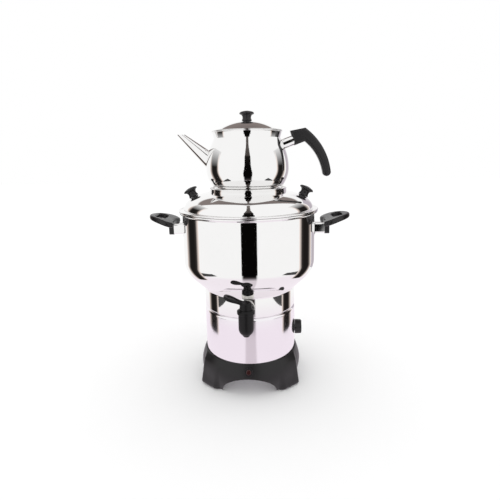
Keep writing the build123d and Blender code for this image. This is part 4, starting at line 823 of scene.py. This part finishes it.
def base_rings(b, shell):
    """Rings of the base's closed section: skin, lip, deck, lining and underside."""
    angle = np.linspace(0, 2 * math.pi, b.steps, endpoint=False)
    level = np.full_like(angle, 1.0)
    edge = arch_height(b, skirt_reach(b, angle, 0.01 * level), angle)
    edge = arch_height(b, skirt_reach(b, angle, edge), angle)
    edge_reach = skirt_reach(b, angle, edge)
    well = shell.neck_radius + 0.1 * MM
    soft = 1.2 * MM
    rings = [(edge_reach - soft, edge), (edge_reach - 0.3 * soft, edge + 0.3 * soft)]
    for row in range(b.rows + 1):
        low = edge + soft
        height = low + (b.lip_top - b.lip_edge - low) * row / b.rows
        rings.append((skirt_reach(b, angle, height), height))
    lip = [(b.lip_radius - 0.3 * b.lip_edge, b.lip_top - 0.3 * b.lip_edge)]
    lip += [(b.lip_radius - b.lip_edge, b.lip_top), (well + 0.3 * MM, b.lip_top)]
    lip += [(well, b.lip_top - 0.3 * MM), (well, shell.deck + 0.3 * MM), (well - 0.3 * MM, shell.deck)]
    lip += [(b.deck_hole + 0.4 * MM, shell.deck), (b.deck_hole, shell.deck - 0.4 * MM)]
    lip += [(b.deck_hole, shell.deck - b.wall + 0.4 * MM), (b.deck_hole + 0.4 * MM, shell.deck - b.wall)]
    rings += [(radius * level, height * level) for radius, height in lip]
    ceiling = shell.deck - b.wall
    for row in range(13):
        low = arch_height(b, edge_reach - b.wall, angle) + b.wall
        height = ceiling + (low - ceiling) * row / 12
        rings.append((skirt_reach(b, angle, height) - b.wall, height))
    inner = rings[-1][0]
    for row in (0.34, 0.67, 1.0):
        reach = inner + (b.vault - inner) * row
        rings.append((reach, arch_height(b, reach, angle) + b.wall))
    for row in (1.0, 0.75, 0.5, 0.25):
        reach = edge_reach - soft + (b.vault - edge_reach + soft) * row
        rings.append((reach, arch_height(b, reach, angle)))
    return [
        np.stack([radius * np.cos(angle), AXIS_Y + radius * np.sin(angle), height], axis=1)
        for radius, height in rings
    ]


class SAMOVAR_OT_base(bpy.types.Operator):
    """Mould the footed base, with its pads, bottom plate and screws"""

    bl_idname = "samovar.base"
    bl_label = "Base"

    def execute(self, context):
        rings = base_rings(context.scene.samovar_base, context.scene.samovar_shell)
        plastic = finish("charcoal_moulding")
        settle(loft("base_moulding", rings, closed=True), "base_moulding", plastic, "base_shell")
        paint_nodes(finish("black_rubber"), "foot_pads")
        paint_nodes(finish("zinc_plate"), "base_plate", "base_screws")
        return {"FINISHED"}


class SAMOVAR_OT_pilot(bpy.types.Operator):
    """Finish the pilot light in the base"""

    bl_idname = "samovar.pilot"
    bl_label = "Pilot light"

    def execute(self, context):
        paint_nodes(finish("black_bakelite"), "pilot_bezel")
        paint_nodes(finish("dark_lens"), "pilot_lens")
        paint_nodes(finish("lamp_glass"), "pilot_lamp")
        return {"FINISHED"}


# ---- tap ---------------------------------------------------------------------------------
class SAMOVAR_OT_tap(bpy.types.Operator):
    """Finish the tap: body, screw cap, lever, plug and seals"""

    bl_idname = "samovar.tap"
    bl_label = "Tap"

    def execute(self, context):
        paint_nodes(finish("tap_moulding"), "tap_body", "tap_cap", "tap_lever", "tap_nut")
        paint_nodes(finish("acetal"), "tap_plug")
        paint_nodes(finish("pale_silicone"), "tap_washers", "tap_seal")
        return {"FINISHED"}


# ---- side handles ------------------------------------------------------------------------
class SAMOVAR_OT_side_handles(bpy.types.Operator):
    """Finish the two side grips, their brackets and screws"""

    bl_idname = "samovar.side_handles"
    bl_label = "Side handles"

    def execute(self, context):
        paint_nodes(finish("black_bakelite"), "side_handle_right", "side_handle_left")
        paint_nodes(finish("mirror_steel"), "handle_bracket_right", "handle_bracket_left")
        paint_nodes(finish("zinc_plate"), "handle_screws")
        return {"FINISHED"}


# ---- controls ----------------------------------------------------------------------------
class SAMOVAR_OT_controls(bpy.types.Operator):
    """Finish the thermostat, the heater and the power inlet"""

    bl_idname = "samovar.controls"
    bl_label = "Controls and heater"

    def execute(self, context):
        paint_nodes(finish("black_bakelite"), "thermostat_knob")
        paint_nodes(finish("zinc_plate"), "thermostat_shaft", "thermostat_nut", "element_nuts",
                    "inlet_screws", "thermal_cutout")
        paint_nodes(finish("ivory_moulding"), "thermostat_body", "terminal_block")
        paint_nodes(finish("charcoal_moulding"), "power_inlet")
        paint_nodes(finish("brass"), "inlet_pins")
        paint_nodes(finish("dull_tube"), "heating_element")
        paint_nodes(finish("pale_silicone"), "element_gaskets")
        return {"FINISHED"}


# ---- studio ------------------------------------------------------------------------------
def toned_material(name):
    """Emission in the tones that a card's corners carry."""
    material = bpy.data.materials.new(name)
    material.use_nodes = True
    tree = material.node_tree
    tree.nodes.clear()
    tone = add_node(tree, "ShaderNodeAttribute", attribute_name="tone")
    glow = add_node(tree, "ShaderNodeEmission", {"Color": tone.outputs["Color"]})
    add_node(tree, "ShaderNodeOutputMaterial", {"Surface": glow.outputs["Emission"]})
    return material


def card(name, rows, tones):
    """A card that only polished surfaces see: rows of points, each with a tone that fades to the next."""
    wide = len(rows[0])
    mesh = bpy.data.meshes.new(name)
    quads = [
        (r * wide + i, r * wide + i + 1, (r + 1) * wide + i + 1, (r + 1) * wide + i)
        for r in range(len(rows) - 1)
        for i in range(wide - 1)
    ]
    mesh.from_pydata([tuple(point) for row in rows for point in row], [], quads)
    painted = mesh.attributes.new("tone", "FLOAT_COLOR", "POINT")
    painted.data.foreach_set("color", [value for row in tones for tone in row for value in (*tone, 1.0)])
    mesh.materials.append(toned_material(name))
    board = bpy.data.objects.new(name, mesh)
    bpy.context.scene.collection.objects.link(board)
    for ray in ("camera", "diffuse", "shadow", "transmission", "volume_scatter"):
        setattr(board, f"visible_{ray}", False)
    return board


def seen_by_gloss(tree):
    """1 for camera, glossy and transmission rays, 0 for the rest."""
    path = tree.nodes.new("ShaderNodeLightPath").outputs
    total = path["Is Camera Ray"]
    for kind in ("Is Glossy Ray", "Is Transmission Ray"):
        pair = {0: total, 1: path[kind]}
        total = add_node(tree, "ShaderNodeMath", pair, operation="ADD", use_clamp=True).outputs["Value"]
    return total


def make_world(studio):
    """White room for the camera and for gloss, a little softer as light."""
    world = bpy.data.worlds.new("room")
    world.use_nodes = True
    tree = world.node_tree
    back = tree.nodes["Background"]
    back.inputs["Color"].default_value = (*studio.white, 1.0)
    level = between(tree, seen_by_gloss(tree), studio.ambient, 1.0, 0.0, 1.0)
    tree.links.new(level, back.inputs["Strength"])
    bpy.context.scene.world = world


def ramp(tree, value, stops):
    """Colour ramp through (place, colour) stops."""
    node = tree.nodes.new("ShaderNodeValToRGB")
    steps = node.color_ramp.elements
    while len(steps) < len(stops):
        steps.new(1.0)
    for step, (place, tone) in zip(steps, stops):
        step.position = place
        step.color = (*tone, 1.0)
    tree.links.new(value, node.inputs["Fac"])
    return node.outputs["Color"]


def floor_tones(tree, studio):
    """What polished steel sees on the floor, painted into the floor's glossy emission: a lilac tone of
    painted shade near the object, and a dark wedge of painted shadow and painted reflection towards the
    camera.
    """
    place = tree.nodes.new("ShaderNodeTexCoord").outputs["Object"]
    turned_about = {"Vector": place, "Location": (0, AXIS_Y, 0), "Rotation": (0, 0, studio.azimuth)}
    view = add_node(tree, "ShaderNodeMapping", turned_about, vector_type="TEXTURE").outputs["Vector"]
    radius = add_node(tree, "ShaderNodeVectorMath", {0: view}, operation="LENGTH").outputs["Value"]
    split = add_node(tree, "ShaderNodeSeparateXYZ", {"Vector": view}).outputs
    across = add_node(tree, "ShaderNodeMath", {0: split["X"]}, operation="ABSOLUTE").outputs["Value"]
    ahead = add_node(tree, "ShaderNodeMath", {0: split["Y"], 1: -1.0}, operation="MULTIPLY").outputs["Value"]
    bearing = add_node(tree, "ShaderNodeMath", {0: across, 1: ahead}, operation="ARCTAN2").outputs["Value"]
    # Painted shade: a lilac tone near the object that fades to white further out.
    pool = ramp(tree, radius, [(0.36, studio.near_floor_shade), (0.5, studio.white)])
    # Painted shadow and painted reflection: a darker tone just in front of the object, then the dark camera
    # side fading to black, seen only in steel.
    dusk, night, black = (0.4, 0.36, 0.39), (0.06, 0.05, 0.05), (0.004, 0.004, 0.004)
    wedge = ramp(tree, radius, [(0.33, studio.shade), (0.38, dusk), (0.485, night), (0.6, black)])
    inside = between(tree, bearing, 1.0, 0.0, *(math.radians(edge) for edge in WEDGE_EDGE))
    mix = {"Factor": inside, "A": pool, "B": wedge}
    return add_node(tree, "ShaderNodeMix", mix, data_type="RGBA").outputs["Result"]


def make_floor(studio):
    """Pale floor that keeps the object's shadow, and shows painted shade and a painted dark reflection in
    polished steel.
    """
    half = studio.floor
    mesh = bpy.data.meshes.new("floor")
    corners = [(-half, -half, 0), (half, -half, 0), (half, half, 0), (-half, half, 0)]
    mesh.from_pydata(corners, [], [(0, 1, 2, 3)])
    material = bpy.data.materials.new("pale_floor")
    material.use_nodes = True
    tree = material.node_tree
    tree.nodes.clear()
    matt = add_node(tree, "ShaderNodeBsdfDiffuse", {"Color": (0.97, 0.97, 0.97, 1.0)})
    # The floor's emission reaches only glossy rays and paints shade and a dark reflection into the polished
    # steel.
    glow = add_node(tree, "ShaderNodeEmission", {"Color": floor_tones(tree, studio)})
    path = tree.nodes.new("ShaderNodeLightPath").outputs["Is Glossy Ray"]
    sides = {"Fac": path, 1: matt.outputs["BSDF"], 2: glow.outputs["Emission"]}
    mix = add_node(tree, "ShaderNodeMixShader", sides)
    add_node(tree, "ShaderNodeOutputMaterial", {"Surface": mix.outputs["Shader"]})
    mesh.materials.append(material)
    floor = bpy.data.objects.new("floor", mesh)
    bpy.context.scene.collection.objects.link(floor)


def around(azimuth, reach, height):
    """Point round the vessel's axis; azimuth 0 is towards the camera, and it grows to the right."""
    angle = math.radians(azimuth) + bpy.context.scene.samovar_studio.azimuth
    return Vector((reach * math.sin(angle), AXIS_Y - reach * math.cos(angle), height))


def stage_point(right, back, height):
    """Point right of and behind the vessel's axis as the camera sees it."""
    across, depth = around(90, 1, 0), around(180, 1, 0)
    centre = Vector((0, AXIS_Y, 0))
    return centre + right * (across - centre) + back * (depth - centre) + Vector((0, 0, height))


def grey(level, warmth=0.0):
    return (level * (1 + warmth), level, level * (1 - warmth / 2))


def make_cards(studio):
    """Dark cards that draw the bands in the polished steel."""
    near = -studio.reach
    front = (                            # place behind the axis, height, half width, tone
        (near, 0.0, 0.154, 0.002), (near, 0.22, 0.154, 0.002), (near, 0.32, 0.12, 0.002),
        (near, 0.40, 0.12, 0.002), (near, 0.5, 0.10, 0.003), (near, 0.73, 0.10, 0.01),
        (near, 0.78, 0.09, 0.06), (near, 1.2, 0.06, 0.08), (-0.45, 1.6, 0.045, 0.12),
        (0.0, 1.8, 0.04, 0.16),
    )
    rows = [[stage_point(-half, back, z), stage_point(half, back, z)] for back, z, half, _ in front]
    card("front_card", rows, [[grey(level, 0.15)] * 2 for *_, level in front])
    flag = ((-0.075, 0.9), (-0.045, 0.03), (-0.02, 0.012), (0.04, 0.012), (0.06, 0.05), (0.12, 0.8))
    for side in (RIGHT, LEFT):
        rows = [[stage_point(side * 0.295, back, z) for back, _ in flag] for z in (0.0, 0.42, 0.56)]
        tones = [[grey(level, 0.15) for _, level in flag]] * 2 + [[grey(0.8)] * len(flag)]
        card(f"side_flag_{side + 1}", rows, tones)
        rows = [
            [stage_point(side * reach, back, HIDDEN_HEIGHT) for back in (-0.33, 0.05)]
            for reach in (0.42, 0.60)
        ]
        card(f"floor_patch_{side + 1}", rows, [[grey(0.07)] * 2] * 2)
    lilac = (0.52, 0.47, 0.52)
    rows = [[around(azimuth, 0.62, z) for azimuth in (125, 140, 160)] for z in (0.0, 0.62)]
    card("lilac_card", rows, [[lilac, lilac, (1.0, 1.0, 1.0)]] * 2)
    white, brown, dim, dark = (1.0, 1.0, 1.0), (0.242, 0.205, 0.195), (0.18, 0.155, 0.15), (0.16, 0.14, 0.135)
    rising = ((33, white), (36, brown), (50, brown), (72, dim), (88, dark))
    rows = [
        [around(azimuth, 1.3 * math.cos(math.radians(rise)), 0.3 + 1.3 * math.sin(math.radians(rise)))
         for azimuth in range(120, 241, 10)]
        for rise, _ in rising
    ]
    card("rear_card", rows, [[tone] * len(rows[0]) for _, tone in rising])


def make_camera(studio):
    data = bpy.data.cameras.new("camera")
    data.lens = studio.lens
    data.shift_x, data.shift_y = FRAME_SHIFT
    data.clip_start = 0.01
    camera = bpy.data.objects.new("camera", data)
    bpy.context.scene.collection.objects.link(camera)
    place = around(0, studio.reach, studio.camera_height)
    turn = Matrix.Rotation(studio.azimuth, 4, "Z") @ Matrix.Rotation(math.pi / 2 - studio.pitch, 4, "X")
    camera.matrix_world = Matrix.Translation(place) @ turn @ Matrix.Rotation(-studio.roll, 4, "Z")
    bpy.context.scene.camera = camera


class SAMOVAR_OT_studio(bpy.types.Operator):
    """Set up the floor, the room, the dark cards and the camera"""

    bl_idname = "samovar.studio"
    bl_label = "Studio"

    def execute(self, context):
        studio = context.scene.samovar_studio
        make_world(studio)
        make_floor(studio)
        make_cards(studio)
        make_camera(studio)
        context.scene.view_settings.view_transform = "Standard"
        return {"FINISHED"}


# ---- add-on ------------------------------------------------------------------------------
SETTINGS = {
    "samovar_finish": FinishSettings,
    "samovar_shell": ShellSettings,
    "samovar_lid": LidSettings,
    "samovar_knob": KnobSettings,
    "samovar_teapot": TeapotSettings,
    "samovar_base": BaseSettings,
    "samovar_studio": StudioSettings,
}
OPERATORS = (
    SAMOVAR_OT_boiler,
    SAMOVAR_OT_housing,
    SAMOVAR_OT_pot_lid,
    SAMOVAR_OT_knobs,
    SAMOVAR_OT_teapot,
    SAMOVAR_OT_teapot_lid,
    SAMOVAR_OT_teapot_fittings,
    SAMOVAR_OT_base,
    SAMOVAR_OT_pilot,
    SAMOVAR_OT_tap,
    SAMOVAR_OT_side_handles,
    SAMOVAR_OT_controls,
    SAMOVAR_OT_studio,
)


class SAMOVAR_PT_panel(bpy.types.Panel):
    """Lists the pieces of the samovar and the studio"""

    bl_label = "Samovar"
    bl_idname = "SAMOVAR_PT_panel"
    bl_space_type = "VIEW_3D"
    bl_region_type = "UI"
    bl_category = "Samovar"

    def draw(self, context):
        for operator in OPERATORS:
            self.layout.operator(operator.bl_idname)


def register():
    for name, group in SETTINGS.items():
        bpy.utils.register_class(group)
        setattr(bpy.types.Scene, name, bpy.props.PointerProperty(type=group))
    for operator in OPERATORS:
        bpy.utils.register_class(operator)
    bpy.utils.register_class(SAMOVAR_PT_panel)


def unregister():
    bpy.utils.unregister_class(SAMOVAR_PT_panel)
    for operator in reversed(OPERATORS):
        bpy.utils.unregister_class(operator)
    for name, group in reversed(SETTINGS.items()):
        delattr(bpy.types.Scene, name)
        bpy.utils.unregister_class(group)


def main():
    register()
    for operator in OPERATORS:
        family, name = operator.bl_idname.split(".")
        getattr(getattr(bpy.ops, family), name)()


if __name__ == "__main__":
    main()
